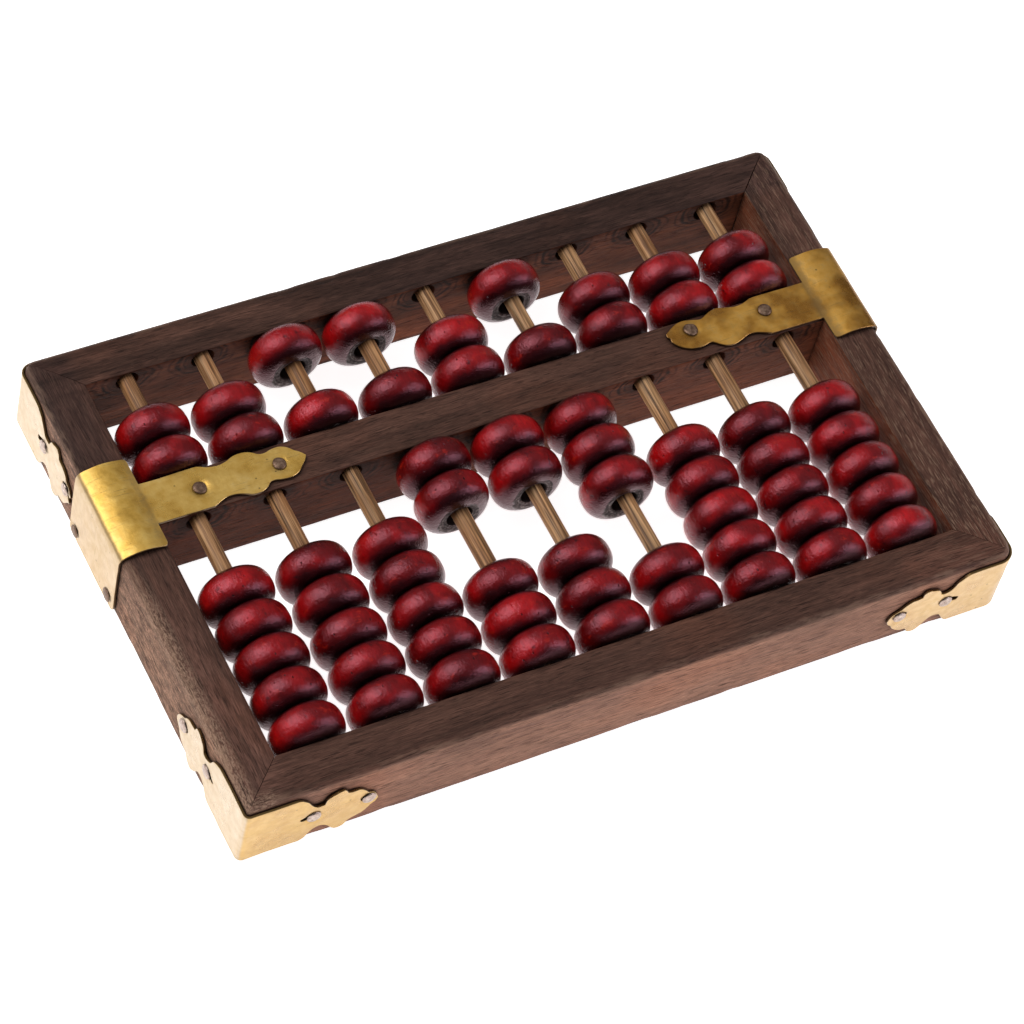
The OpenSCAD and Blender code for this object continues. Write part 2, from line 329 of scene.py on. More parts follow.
class Material:
    """A material with one principled shader."""

    def __init__(self, name):
        self.mat = bpy.data.materials.new(name)
        self.mat.use_nodes = True
        self.tree = self.mat.node_tree
        self.tree.nodes.clear()
        output = self.tree.nodes.new("ShaderNodeOutputMaterial")
        self.bsdf = self.tree.nodes.new("ShaderNodeBsdfPrincipled")
        self.tree.links.new(self.bsdf.outputs[0], output.inputs[0])

    def set(self, **values):
        for key, value in values.items():
            put(self.tree, self.bsdf.inputs[key.replace("_", " ")], value)

    def node(self, kind, inputs=(), out=0, **settings):
        return add_node(self.tree, kind, inputs, out, **settings)

    def attr(self, name):
        return self.node("ShaderNodeAttribute", out="Vector", attribute_name=name)

    def join(self, x, y, z):
        return self.node("ShaderNodeCombineXYZ", (x, y, z))

    def crevice(self, distance):
        """1 in the open, falling to 0 in crevices narrower than distance."""
        inputs = {"Distance": distance}
        return self.node("ShaderNodeAmbientOcclusion", inputs, "AO", samples=4)

    def normal(self):
        return self.node("ShaderNodeNewGeometry", out="Normal")

    def bump(self, height, distance, strength):
        inputs = {"Strength": strength, "Distance": distance, "Height": height}
        return self.node("ShaderNodeBump", inputs)


MIDDLE = (0.5, 0.5, 0.5)    # the mean of a noise colour


# ---------------------------------------------------------------- materials
def wood_material():
    """Dark walnut. Attributes: tc: along the grain, across, up. lc: place in the frame.
    ed: distance from the outer face, depth below the top, dryness."""
    net = Material("dark_wood")
    grain, place = net.attr("tc"), net.attr("lc")
    inset, depth, dry = net.attr("ed").split()
    # the figure wanders off the straight grain by up to 5 mm
    wander = grain.noise((0.016, 0.07, 0.07), out="Color") - MIDDLE
    figure = grain.vec("ADD", wander * (0, 5.0, 5.0))
    band = figure.noise((0.007, 0.24, 0.24), detail=3, rough=0.55, distort=0.3)
    streak = figure.noise((0.030, 1.25, 1.25), detail=4, rough=0.62)
    fibre = figure.noise((0.11, 6.0, 6.0), rough=0.6)
    pore = figure.noise((0.20, 4.6, 4.6), detail=1).step(0.60, 0.70)
    cloud = grain.noise((0.035, 0.05, 0.05))
    tone = band * 0.55 + streak * 0.45
    top = tone.ramp([
        (0.30, (0.050, 0.0245, 0.0170)), (0.42, (0.073, 0.0350, 0.0242)),
        (0.52, (0.095, 0.0450, 0.0308)), (0.62, (0.120, 0.0575, 0.0392)),
        (0.76, (0.155, 0.0760, 0.0520))])
    outer = tone.ramp([
        (0.30, (0.186, 0.095, 0.064)), (0.42, (0.226, 0.118, 0.079)),
        (0.52, (0.254, 0.136, 0.091)), (0.63, (0.283, 0.156, 0.106)),
        (0.77, (0.318, 0.184, 0.128))])
    on_outer = inset.step(0.9, 0.15) * depth.step(0.7, 2.2)
    x, y, z = place.split()
    nx, ny, nz = net.normal().split()
    facing_y = abs(ny).step(0.6, 0.9)
    inner = abs(nz).step(0.75, 0.45) * inset.step(1.0, 3.0)

    # tops and inner faces: the front left and back right are faded, the back left is dark
    fade = x.step(-82, -88) * y.step(4, -22)
    fade = fade + x.step(82, 88) * y.step(2, 22) * 0.75
    fade = fade * grain.noise((0.16, 0.55, 0.55), detail=5, rough=0.68).step(0.36, 0.62)
    top = top.tint(x.step(-82, -88) * y.step(16, 34), (0.68, 0.72, 0.80))
    top = top.tint(fade, (1.56, 1.60, 1.66))
    back_rail_top = y.step(47, 51) * nz.step(0.3, 0.8) * x.step(-45, 0)
    top = top.tint(back_rail_top, (0.62, 0.66, 0.72))
    top = top.tint(inner * 0.8, (1.80, 1.13, 0.74))
    beam_face = abs(y - BEAM_Y).step(8.0, 7.0) * inner
    top = top.tint(beam_face * x.step(10, -30), (0.59, 0.51, 0.465))

    # outer faces: paler to front and back, gritty to the sides, coarsest on the left
    outer = abs(ny).step(0.6, 0.9).mix(outer.times(1.06), outer * (1.14, 1.06, 1.02))
    grit = grain.noise((0.35, 1.1, 1.1), detail=5, rough=0.72)
    gritty = outer.times(grit.step(0.32, 0.66, low=0.44, high=1.34)) * (0.95, 0.96, 0.97)
    outer = abs(nx).step(0.6, 0.9).mix(outer, gritty)
    outer = outer.times(grit.step(0.3, 0.7, low=0.93, high=1.07))
    coarse = grain.noise((1.3, 2.6, 2.6), detail=5, rough=0.80).step(0.38, 0.62)
    coarse = x.step(-88, -92) * coarse
    speckle = coarse.mix((0.58, 0.56, 0.54), (1.34, 1.39, 1.34))
    outer = outer.tint(x.step(-88, -92), speckle) if False else \
        x.step(-88, -92).mix(outer, outer.vec("MULTIPLY", speckle))

    front_right = x.step(66, 72) * y.step(-48, -52)
    top = top.tint(front_right, (1.32, 1.25, 1.22))
    blotch = place.noise((0.045, 0.20, 0.20), detail=4, rough=0.60)
    blotch = blotch.step(0.40, 0.60, low=0.66, high=1.10)
    top = y.step(47, 51).mix(top, top.times(blotch))
    col = on_outer.mix(top, outer)

    # clouds, fibres and short marks along the grain
    col = col.tint(cloud.step(0.50, 0.72) * 0.45, (1.45, 1.18, 1.0))
    col = (cloud.step(0.47, 0.30) * 0.5).mix(col, col.times(0.6))
    col = col.times(fibre.step(0.30, 0.70, low=0.76, high=1.24))
    short = figure.noise((0.45, 5.2, 5.2), detail=3, rough=0.66)
    col = col.times(short.step(0.34, 0.66, low=0.82, high=1.18))
    # dry open grain: pale flecks
    fleck = figure.noise((0.30, 3.0, 3.0), detail=3, rough=0.65).step(0.50, 0.66)
    col = (fleck * dry * 0.75).mix(col, (0.30, 0.185, 0.120))
    # worn outer arris, rubbed palest at the front left
    from_arris = net.join(inset, depth, 0.0).length()
    worn = grain.noise((0.12, 0.5, 0.5), detail=4, rough=0.65).step(0.42, 0.66)
    worn = from_arris.step(2.1, 0.4) * worn
    col = (worn * (dry * 0.45 + 0.38)).mix(col, (0.38, 0.235, 0.155))
    rubbed = from_arris.step(4.2, 1.2) * (x.step(-86, -90) * y.step(6, -14))
    rubbed = rubbed * grain.noise((1.1, 3.0, 3.0), detail=5, rough=0.76).step(0.40, 0.62)
    col = (rubbed * 0.80).mix(col, (0.43, 0.275, 0.185))
    col = (pore * 0.62).mix(col, (0.017, 0.0085, 0.0062))

    # warped rings round the rod holes, and painted shade round their mouths
    turns = x / PITCH
    hole_x = (turns - turns.calc("ROUND")) * PITCH
    warp = place.noise((0.16, 0.02, 0.22), out="Color") - MIDDLE
    warp_x, _, warp_z = (warp * (4.2, 0, 2.6)).split()
    hole_z = z - (ROD_Z + 0.4)
    from_hole = net.join((hole_x + warp_x) * 0.70, 0.0, hole_z + warp_z).length()
    patchy = place.noise((0.14, 0.02, 0.30), detail=3, rough=0.6).step(0.34, 0.56)

    def ring(radius, width):
        return abs(from_hole - radius).step(width, 0.05)

    side_rings = (ring(3.3, 0.35) * 0.7).calc("MAXIMUM", ring(5.7, 0.42) * 0.6)
    rings = ring(4.4, 0.60).calc("MAXIMUM", side_rings)
    at_hole = facing_y * inner
    col = (rings * patchy * at_hole * 0.90).mix(col, (0.014, 0.0066, 0.0046))
    # painted shade: the wood darkens towards each hole mouth
    hole_shade = from_hole.step(5.0, 2.0) * at_hole
    col = (hole_shade * 0.62).mix(col, (0.017, 0.0090, 0.0068))
    # dirt and painted shade in the crevices: darker by the plates, in the hole mouths and at the
    # mitres
    col = col.times(net.crevice(0.0016).step(0.25, 0.95, low=0.30, high=1.0))

    height = (streak * 0.55 + fibre * 0.35) - pore * 0.8
    height = height + fleck * dry * 0.6
    net.set(
        Base_Color=col,
        Roughness=(streak.step(0.3, 0.7, low=0.46, high=0.60) + pore * 0.18)
        + (dry * 0.12 + on_outer * 0.14),
        Specular_IOR_Level=inner.step(0.0, 1.0, low=0.16, high=0.06),
        Normal=net.bump(height, distance=0.00011, strength=0.85))
    return net.mat


def lacquer_material():
    """Red lacquer over turned wood. Attributes: tc, lc: place in the bead, axis along y.
    pf: 0 at the belt to 1 at the rim of the flat end and 2 in the bore, radius, a bead's number."""
    net = Material("red_lacquer")
    place = net.attr("tc")
    zone, radius, own = net.attr("pf").split()
    low = place.noise((0.20, 0.16, 0.20))
    mid = place.noise((0.9, 0.45, 0.9), detail=3, rough=0.6)
    streak = place.noise((2.3, 0.42, 2.3), detail=3, rough=0.65)
    fine = place.noise(2.6, detail=3, rough=0.6)
    # bright red round the belt, nearly black towards the ends: partly the lacquer's own colour,
    # partly painted shade where the beads turn from the light and face each other
    ragged = zone + ((low - 0.5) * 0.50 + (mid - 0.5) * 0.22)
    col = ragged.ramp([
        (0.00, (0.262, 0.0030, 0.0034)), (0.20, (0.238, 0.0030, 0.0036)),
        (0.36, (0.140, 0.0026, 0.0036)), (0.48, (0.050, 0.0018, 0.0030)),
        (0.62, (0.016, 0.0014, 0.0024)), (0.90, (0.008, 0.0026, 0.0030))])
    col = col.times(own.step(0.0, 1.0, low=0.80, high=1.32))
    col = col.times(streak.step(0.28, 0.72, low=0.88, high=1.10))
    col = col.times(mid.step(0.30, 0.70, low=0.82, high=1.16))
    broad = place.noise((0.13, 0.10, 0.13))
    col = col.times(broad.step(0.34, 0.64, low=0.50, high=1.36))
    ember = place.noise((0.34, 0.50, 0.34), detail=4, rough=0.66).step(0.57, 0.70)
    ember = ember * zone.step(0.42, 0.20)
    col = (ember * 0.55).mix(col, (0.46, 0.0180, 0.0060))
    stain = place.noise((0.42, 0.26, 0.42), detail=4, rough=0.62).step(0.60, 0.74)
    col = (stain * 0.75).mix(col, (0.022, 0.0035, 0.0050))
    pit = (place * (1.0, 0.55, 1.0)).cells(0.62).step(0.15, 0.07) * mid.step(0.48, 0.62)
    col = (pit * 0.9).mix(col, (0.010, 0.004, 0.004))

    # flat ends, worn down to grey-brown wood, over more of the end low on the bead
    below = net.attr("lc").split()[2].step(1.0, -4.5) * 0.17
    end = ((zone + below) + (mid - 0.5) * 0.20).step(0.93, 1.02)
    # the upper part of the ends stays lacquer coloured
    end = end * (net.attr("lc").split()[2] + (mid - 0.5) * 2.0).step(4.2, 2.6)
    swirl = net.join(radius * 2.3, place.split()[0] * 0.10, place.split()[2] * 0.10)
    swirl = swirl.noise(1, detail=4, rough=0.65)
    chalk = place.noise((1.3, 1.3, 1.3), detail=5, rough=0.74)
    bare = (swirl * 0.45 + chalk * 0.55).ramp([
        (0.36, (0.012, 0.0075, 0.0075)), (0.46, (0.045, 0.030, 0.029)),
        (0.54, (0.150, 0.115, 0.110)), (0.65, (0.50, 0.435, 0.415))])
    # painted shade: the bare ends darken in crevices, against the beam and the next bead
    bare = bare.times(net.crevice(0.0024).step(0.15, 0.60, low=0.22, high=1.0))
    col = end.mix(col, bare)
    col = zone.step(1.75, 2.0).mix(col, (0.012, 0.007, 0.006))    # the bore, painted nearly black as shade

    crinkle = place.noise((1.5, 1.1, 1.5), detail=4, rough=0.68)
    height = (fine * 0.46 + streak * 0.26) + ((mid + crinkle) * 0.55 + pit * -1.2)
    height = height + end * (swirl * 1.3)
    net.set(
        Base_Color=col,
        Roughness=0.085 + (mid * 0.10 + end * 0.38),
        Specular_IOR_Level=end.step(0.0, 1.0, low=0.82, high=0.10),
        Specular_Tint=end.mix((1.0, 0.30, 0.39), (1.0, 0.95, 0.95)),
        Coat_Weight=end.step(0.0, 1.0, low=0.19, high=0.0),
        Coat_IOR=1.50,
        Coat_Roughness=mid.step(0.3, 0.7, low=0.05, high=0.12) + end * 0.2,
        Normal=net.bump(height, distance=0.00021, strength=0.9),
        Coat_Normal=net.bump(height, distance=0.00021, strength=0.9))
    return net.mat


def bamboo_material():
    """Split bamboo. Attributes: tc: along the rod, across, up. pf: darkness of the rod, 0, 0."""
    net = Material("bamboo")
    grain = net.attr("tc")
    darkness = net.attr("pf").split()[0]
    streak = grain.noise((0.030, 1.15, 1.15), detail=4, rough=0.62)
    fine = grain.noise((0.09, 4.2, 4.2), detail=3, rough=0.6)
    cloud = grain.noise((0.06, 0.10, 0.10))
    col = (streak * 0.72 + fine * 0.28).ramp([
        (0.34, (0.080, 0.036, 0.015)), (0.43, (0.255, 0.128, 0.055)),
        (0.53, (0.50, 0.285, 0.130)), (0.65, (0.74, 0.475, 0.245)), (0.80, (0.93, 0.70, 0.44))])
    col = col.tint(cloud.step(0.42, 0.68) * 0.55, (0.80, 0.60, 0.42))
    col = col.tint(darkness * 0.7, (0.66, 0.57, 0.52))
    stripe = grain.noise((0.045, 2.0, 2.0), detail=3, rough=0.6)
    col = col.times(stripe.step(0.30, 0.66, low=0.55, high=1.30))
    line = grain.noise((0.05, 3.3, 3.3), detail=1).step(0.63, 0.70)
    col = (line * 0.8).mix(col, (0.046, 0.023, 0.012))
    # painted shade where the rod runs into the holes and beads
    col = col.times(net.crevice(0.0025).step(0.2, 1.0, low=0.38, high=1.0))
    height = streak * 0.8 + (fine * 0.5 + line * -0.8)
    net.set(
        Base_Color=col,
        Roughness=fine.step(0.3, 0.7, low=0.40, high=0.56),
        Specular_IOR_Level=0.28,
        Normal=net.bump(height, distance=0.00013, strength=0.9))
    return net.mat


def brass_material():
    """Thin satin brass. Attributes: tc: along and across the flattened sheet. lc: place in the
    frame. pf: tarnish, cut edge, a number that tells the pieces apart."""
    net = Material("brass_sheet")
    place = net.attr("tc")
    tarnish, rim, own = net.attr("pf").split()
    cloud = place.noise(0.11, detail=3, rough=0.55)
    blot = place.noise(0.42, detail=4, rough=0.62)
    grain = place.noise(2.4, detail=3, rough=0.6)
    brush = place.noise((0.22, 5.0, 1.0), rough=0.6)
    cross = place.noise((4.2, 0.18, 1.0), rough=0.6)
    col = (cloud * 0.55 + blot * 0.45).ramp([
        (0.32, (0.56, 0.330, 0.062)), (0.45, (0.75, 0.475, 0.110)),
        (0.58, (0.87, 0.605, 0.185)), (0.72, (0.94, 0.72, 0.32))])
    # upright faces are painted paler: a painted reflection of the bright floor; faces turned to the
    # front or back are toned down from it
    nx, ny, nz = net.normal().split()
    pale = abs(nx).step(0.35, 0.95) * 0.85 + abs(ny).step(0.35, 0.95) * 0.52
    floor_reflection_col = blot.step(0.35, 0.65).mix((0.575, 0.452, 0.318), (0.640, 0.528, 0.405))
    col = pale.mix(col, floor_reflection_col)
    col = col.tint(abs(ny).step(0.6, 0.95), (0.93, 0.86, 0.80))
    # the left strap's head is painted brighter on top: a painted reflection
    head = own.step(0.30, 0.25) * own.step(0.15, 0.20)
    head = head * abs(net.attr("lc").split()[0]).step(85.5, 88.5)
    col = col.tint(head * nz.step(0.5, 0.9), (1.08, 1.09, 1.02))
    # the front left plate is golden at the front
    golden = own.step(0.14, 0.12) * abs(ny).step(0.6, 0.95)
    col = col.tint(golden, (0.98, 0.93, 0.74))
    # the right strap is darker and browner in patches
    old = own.step(0.60, 0.62)
    old = old * own.step(0.66, 0.64)
    patch = cloud.step(0.36, 0.62)
    col = old.mix(col, patch.mix(col * (0.52, 0.375, 0.25), col * (0.92, 0.735, 0.50)))
    col = col.tint(own.step(0.30, 0.25) * own.step(0.15, 0.20), (0.98, 0.93, 0.84))
    # tarnish, spots, scratches, and dark cut edges: partly oxide, partly painted shade
    stain = (tarnish + (blot - 0.5) * 1.1).step(0.30, 0.95) * 0.72
    col = stain.mix(col, (0.27, 0.165, 0.055))
    spot = place.cells(0.33).step(0.11, 0.03) * cloud.step(0.42, 0.6)
    col = (spot * 0.75).mix(col, (0.14, 0.080, 0.035))
    line = place.noise((0.16, 3.1, 1.0), detail=1).step(0.66, 0.72)
    col = (line * 0.30).mix(col, (0.30, 0.19, 0.07))
    # painted shade along the cut edges, over their oxide
    col = (rim.step(0.2, 0.9) * 0.88).mix(col, (0.085, 0.046, 0.020))

    height = grain * 0.22 + (brush * 0.16 + cross * 0.10)
    height = height + (blot * 0.8 + line * -0.15)
    height = height + cloud * 3.2
    net.set(
        Base_Color=col,
        Metallic=stain.step(0.2, 1.0, low=0.74, high=0.66),
        Roughness=(cloud.step(0.35, 0.65, low=0.26, high=0.38) + head * 0.10)
        + ((grain - 0.5) * 0.10 + stain * 0.14),
        Normal=net.bump(height, distance=0.00011, strength=0.8))
    return net.mat


def nail_material(name, dark, middle, light, rough, metal):
    """Struck metal. tc: place on the nail."""
    net = Material(name)
    place = net.attr("tc")
    blot = place.noise(1.1, detail=4, rough=0.62)
    grain = place.noise(4.5, detail=3, rough=0.6)
    pit = place.cells(1.7).step(0.20, 0.08)
    col = (blot * 0.7 + grain * 0.3).ramp([(0.30, dark), (0.5, middle), (0.70, light)])
    col = (pit * 0.5).mix(col, dark)
    height = (blot * 0.7 + grain * 0.3) + pit * -0.5
    # painted shade: the colour darkens in crevices, under and round the heads
    net.set(
        Base_Color=col.times(net.crevice(0.0012).step(0.2, 0.95, low=0.20, high=1.0)),
        Metallic=metal,
        Roughness=blot.step(0.3, 0.7, low=rough - 0.07, high=rough + 0.10),
        Normal=net.bump(height, distance=0.00010, strength=0.8))
    return net.mat


WOOD = wood_material()
RED = lacquer_material()
BAMBOO = bamboo_material()
BRASS = brass_material()
BRONZE = nail_material(
    "nail_bronze", dark=(0.055, 0.030, 0.019), middle=(0.19, 0.112, 0.070),
    light=(0.38, 0.26, 0.18), rough=0.42, metal=0.62)
SILVER = nail_material(
    "nail_pale", dark=(0.16, 0.10, 0.075), middle=(0.48, 0.37, 0.31),
    light=(0.74, 0.64, 0.57), rough=0.34, metal=0.88)


# ---------------------------------------------------------------- frame rails
ARRIS, LOW_ROUND, INNER_ROUND = 1.6, 0.6, 0.45      # edge radii: outer top, outer foot, inner


def frame_depth(at):
    """Distance in from the frame's rounded outline, for points in plan."""
    left, front = at[:, 0] < 0, at[:, 1] < 0
    radius = np.where(left, np.where(front, RADII[-1, -1], RADII[-1, 1]),
                      np.where(front, RADII[1, -1], RADII[1, 1]))
    over = np.abs(at[:, :2]) - np.array([HALF_W, HALF_D]) + radius[:, None]
    return (radius - np.hypot(np.maximum(over[:, 0], 0), np.maximum(over[:, 1], 0))
            - np.minimum(over.max(1), 0))


def rail_section(width):
    """Crowned section of a rail: (distance from the outer face, height), with its normals."""
    big = (width * width / 4 + CROWN * CROWN) / (2 * CROWN)

    def top(a):
        return float(RAIL_H - big + np.sqrt(big * big - (a - width / 2) ** 2))

    inner = width - INNER_ROUND
    inner_top, arris_z = top(width) - INNER_ROUND, top(ARRIS) - ARRIS
    outline = [(a, 0.0) for a in np.linspace(LOW_ROUND, inner, 8)]
    outline += arc(inner, INNER_ROUND, INNER_ROUND, -90, 0, 4)[1:]
    outline += [(width, z) for z in np.linspace(INNER_ROUND, inner_top, 15)[1:]]
    outline += arc(inner, inner_top, INNER_ROUND, 0, 78, 4)[1:]
    outline += [(a, top(a)) for a in np.linspace(inner - 0.35, ARRIS + 0.3, 10)]
    outline += arc(ARRIS, arris_z, ARRIS, 88, 180, 10)
    outline += [(0.0, z) for z in np.linspace(arris_z, LOW_ROUND, 15)[1:]]
    outline += arc(LOW_ROUND, LOW_ROUND, LOW_ROUND, 180, 270, 4)[1:-1]
    return with_normals(outline)


def wear_depth(at, seed):
    """How far the wood has worn in from its true surface, never outwards."""
    depth = 0.03 + 0.045 * (noise(at / np.array([16, 16, 7]), seed) + 1)
    return depth + 0.02 * (noise(at / 3.1, seed + 1) + 1)


def rail(name, along, side, gap_low, gap_high):
    """A crowned rail with mitred ends. The gaps pull its ends back from the mitre lines."""
    if along == "x":
        width, half, half_off, slope = LONG_W, HALF_W, HALF_D, SIDE_W / LONG_W
        radii = RADII[-1, side], RADII[1, side]
    else:
        width, half, half_off, slope = SIDE_W, HALF_D, HALF_W, LONG_W / SIDE_W
        radii = RADII[side, -1], RADII[side, 1]

    def in_frame(u, v, z):
        return np.stack([u, side * v, z] if along == "x" else [side * v, u, z], 2)

    section, normals = rail_section(width)
    inset, height = section.T
    ends = np.concatenate([np.linspace(0, 4.2, 15), [4.8, 5.4]])
    stations = np.arange(-half + 6, half - 6, 1.6)
    stations = np.concatenate([-half + ends, stations, (half - ends)[::-1]])
    t = (stations + half) / (2 * half)
    low = half - inset * slope - gap_low(inset / width, height / RAIL_H)
    high = half - inset * slope - gap_high(inset / width, height / RAIL_H)
    u = -low[None, :] + t[:, None] * (low + high)[None, :]
    inset = np.repeat(inset[None, :], len(t), 0)
    z = np.repeat(height[None, :], len(t), 0)

    # wear: the whole surface, then dings along the top arris and the lower edge
    flat = in_frame(u, half_off - inset, z).reshape(-1, 3)

    def mottle(size, seed):
        return noise(flat / size, seed).reshape(inset.shape)

    wear = wear_depth(flat, 3).reshape(inset.shape)
    near = np.exp(-((inset - 0.5) ** 2 + (z - RAIL_H + 0.5) ** 2) / 1.6 ** 2)
    ding = np.maximum(0, mottle(np.array([3.7, 3.7, 5.0]), 9) - 0.42)
    wear += near * (0.05 + 0.55 * ding + 0.10 * (mottle(11.0, 12) + 1) / 2)
    low_edge = np.exp(-((inset - 0.2) ** 2 + (z - 0.2) ** 2) / 1.0)
    wear += low_edge * 0.25 * np.maximum(0, mottle(4.3, 15) - 0.3)
    inset = inset - normals[None, :, 0] * wear
    z = np.maximum(z - normals[None, :, 1] * wear, 0.0)

    # square corners drawn in to the frame's plan radii
    v = half_off - inset
    radius = np.where(u < 0, *radii)
    over_u, over_v = np.abs(u) - (half - radius), v - (half_off - radius)
    corner = (over_u > 0) & (over_v > 0)
    pull = np.maximum(over_u, over_v) / np.maximum(np.hypot(over_u, over_v), 1e-9)
    u = np.where(corner, np.sign(u) * (half - radius + over_u * pull), u)
    v = np.where(corner, half_off - radius + over_v * pull, v)
    return mesh_object(name, in_frame(u, v, z).reshape(-1, 3), tube_faces(*inset.shape))


def hole_cutter(profile, y0, direction, seed):
    """Slightly ragged cutters along Y, one for each rod. profile: (distance from y0, radius)."""
    verts, faces, count = [], [], 44
    rng = np.random.default_rng(seed)
    turn = around(count)
    for x, *_ in rods:
        off_x, off_z = rng.uniform(-0.16, 0.16), rng.uniform(-0.12, 0.16)
        size = rng.uniform(0.96, 1.07)
        offset = len(verts)
        for away, radius in profile:
            ring = np.stack([np.cos(turn) * 1.3, np.sin(turn) * 1.3,
                             np.full(count, x + away * 0.1)], 1)
            ragged = radius * size * (1 + 0.045 * noise(ring, seed + 5))
            verts += [(x + off_x + r * math.cos(a), y0 + direction * away,
                       ROD_Z + off_z + r * math.sin(a)) for r, a in zip(ragged, turn)]
        faces += tube_faces(len(profile), count, offset)
    return mesh_object("cutter", verts, faces)


def wood_attributes(ob, along, offset, from_face, top, dry):
    """from_face and dry are functions of the points; top is the height depth is measured from."""
    at = points(ob)
    put_vector(ob, "tc", at[:, [0, 1, 2] if along == "x" else [1, 0, 2]] + np.array(offset))
    put_vector(ob, "lc", at)
    put_vector(ob, "ed", np.stack([from_face(at), top - at[:, 2], dry(at)], 1))


def crack(base, grow, inner=False):
    """Half the width of a mitre crack, widening outwards, or inwards if inner."""
    return lambda s, h: ((base + grow * (s if inner else 1 - s) ** 1.5 * (0.6 + 0.4 * h))
                         * (1 - 0.9 * smooth(s, 0.90, 0.99)))


def left_dryness(at):
    faded = smooth(frame_depth(at), 2.6, 0.4) * smooth(at[:, 1], 30, -5)
    return 0.12 + 0.85 * faded


FRONT_LEFT, FRONT_RIGHT = crack(0.075, 0.03), crack(0.055, 0.03)
BACK_LEFT, BACK_RIGHT = crack(0.035, 0.06, inner=True), crack(0.09, 0.12, inner=True)
# name, axis, side, crack at the low end, at the high end, grain offset, dryness
RAILS = [
    ("front_rail", "x", -1, FRONT_LEFT, FRONT_RIGHT, (0, 0, 0),
     lambda at: 0.10 + 0.25 * smooth(at[:, 0], 60, 90)),
    ("back_rail", "x", 1, BACK_LEFT, BACK_RIGHT, (230, 31, 5),
     lambda at: np.full(len(at), 0.06)),
    ("left_rail", "y", -1, FRONT_LEFT, BACK_LEFT, (470, 7, 9), left_dryness),
    ("right_rail", "y", 1, FRONT_RIGHT, BACK_RIGHT, (690, 53, 2),
     lambda at: 0.55 + 0.45 * smooth(at[:, 1], 10, -40)),
]
MOUTH = [(-0.6, 3.25), (0.0, 2.95), (0.35, 2.72)]     # flared mouth of a rod hole
for name, along, side, gap_low, gap_high, offset, dry in RAILS:
    ob = rail("wood_" + name, along, side, gap_low, gap_high)
    if along == "x":
        cut(ob, hole_cutter(MOUTH + [(4.6, 2.55)], side * IN_Y, side, 40 + side))
    wood_attributes(ob, along, offset, frame_depth, RAIL_H, dry)
    register(ob, "frame", name, WOOD)


def build_beam():
    """The cross beam: a bar with eased edges, drilled for every rod."""
    low, ease = beam_lo[2], 0.55
    front, back, foot, top = BEAM_F + ease, BEAM_B - ease, low + ease, DECK_Z - ease
    outline = [(y, low) for y in np.linspace(front, back, 9)]
    outline += arc(back, foot, ease, -90, 0, 4)[1:]
    outline += [(BEAM_B, z) for z in np.linspace(foot, top, 15)[1:]]
    outline += arc(back, top, ease, 0, 90, 5)[1:]
    outline += [(y, DECK_Z) for y in np.linspace(back, front, 9)[1:]]
    outline += arc(front, top, ease, 90, 180, 5)[1:]
    outline += [(BEAM_F, z) for z in np.linspace(top, foot, 15)[1:]]
    outline += arc(front, foot, ease, 180, 270, 4)[1:-1]
    outline, normals = with_normals(outline)
    stations = np.linspace(-IN_X + 0.03, IN_X - 0.03, 108)
    rows, cols = len(stations), len(outline)
    at = np.column_stack([np.repeat(stations, cols), np.tile(outline, (rows, 1))])
    span = BEAM_B - BEAM_F
    wear = wear_depth(at, 21)
    corner = np.exp(-((np.abs(at[:, 1] - BEAM_Y) - span / 2) ** 2
                      + (at[:, 2] - DECK_Z) ** 2) / 1.2)
    wear += corner * 0.35 * np.maximum(0, noise(at / 4.1, 24) - 0.25)
    at[:, 1:] -= np.tile(normals, (rows, 1)) * wear[:, None]
    ob = mesh_object("wood_beam", at, tube_faces(rows, cols))
    through = MOUTH + [(span / 2, 2.5)] + [(span - away, r) for away, r in MOUTH[::-1]]
    cut(ob, hole_cutter(through, BEAM_F, 1, 57))
    # the beam has no outer face, so all of it counts as well in from the outline
    wood_attributes(ob, "x", (900, 77, 11), lambda at: np.full(len(at), 6.0), DECK_Z,
                    lambda at: np.full(len(at), 0.10))
    register(ob, "frame", "beam", WOOD)


build_beam()


# ---------------------------------------------------------------- bamboo rods
# size against the CAD rod, and darkness, from left to right
ROD_LOOKS = [(1.0, 0.55), (1.0, 0.42), (1.02, 0.35), (1.07, 0.12), (0.97, 0.05),
             (0.97, 0.10), (1.0, 0.12), (1.02, 0.30), (1.02, 0.22)]


def build_rod(k):
    x, front, back, z, radius = rods[k]
    scale, darkness = ROD_LOOKS[k]
    rng = np.random.default_rng(300 + k)
    count, rows = 48, 78
    turn = around(count)
    bow_x, bow_z = rng.uniform(-0.10, 0.10), rng.uniform(-0.06, 0.06)
    phase = rng.uniform(0, 6.28)
    size = scale * radius
    facets = rng.uniform(0, 2 * math.pi, 5)
    verts = []
    for y in np.linspace(front, back, rows):
        s = (y - front) / (back - front)
        ring = np.stack([np.cos(turn) * 2.6, np.sin(turn) * 2.6, np.full(count, y / 38.0)], 1)
        radii = size * (1 - 0.018 * (noise(ring + k * 3, 61) + 1))
        ring[:, :2] *= 3.1
        radii -= 0.030 * np.maximum(0, noise(ring + k * 5, 62) - 0.15)
        for facet in facets:
            radii = np.minimum(radii, size * 0.955 / np.maximum(np.cos(turn - facet), 0.2))
        cx = x + bow_x * math.sin(math.pi * s + phase)
        cz = z - (scale - 1) * radius * 0.9 + bow_z * math.sin(2.2 * math.pi * s + phase)
        verts += [(cx + r * math.cos(a), y, cz + r * math.sin(a)) for r, a in zip(radii, turn)]
    ob = mesh_object(f"bamboo_rod_{k + 1}", verts, tube_faces(rows, count))
    at = points(ob)
    put_vector(ob, "tc", np.stack([at[:, 1] + 400 * k, at[:, 0] - x + 13 * k, at[:, 2] - z], 1))
    put_vector(ob, "pf", np.tile([darkness, 0, 0], (len(at), 1)))
    register(ob, "frame", f"rod_{k + 1}", BAMBOO, angle=50)


for k in range(len(rods)):
    build_rod(k)


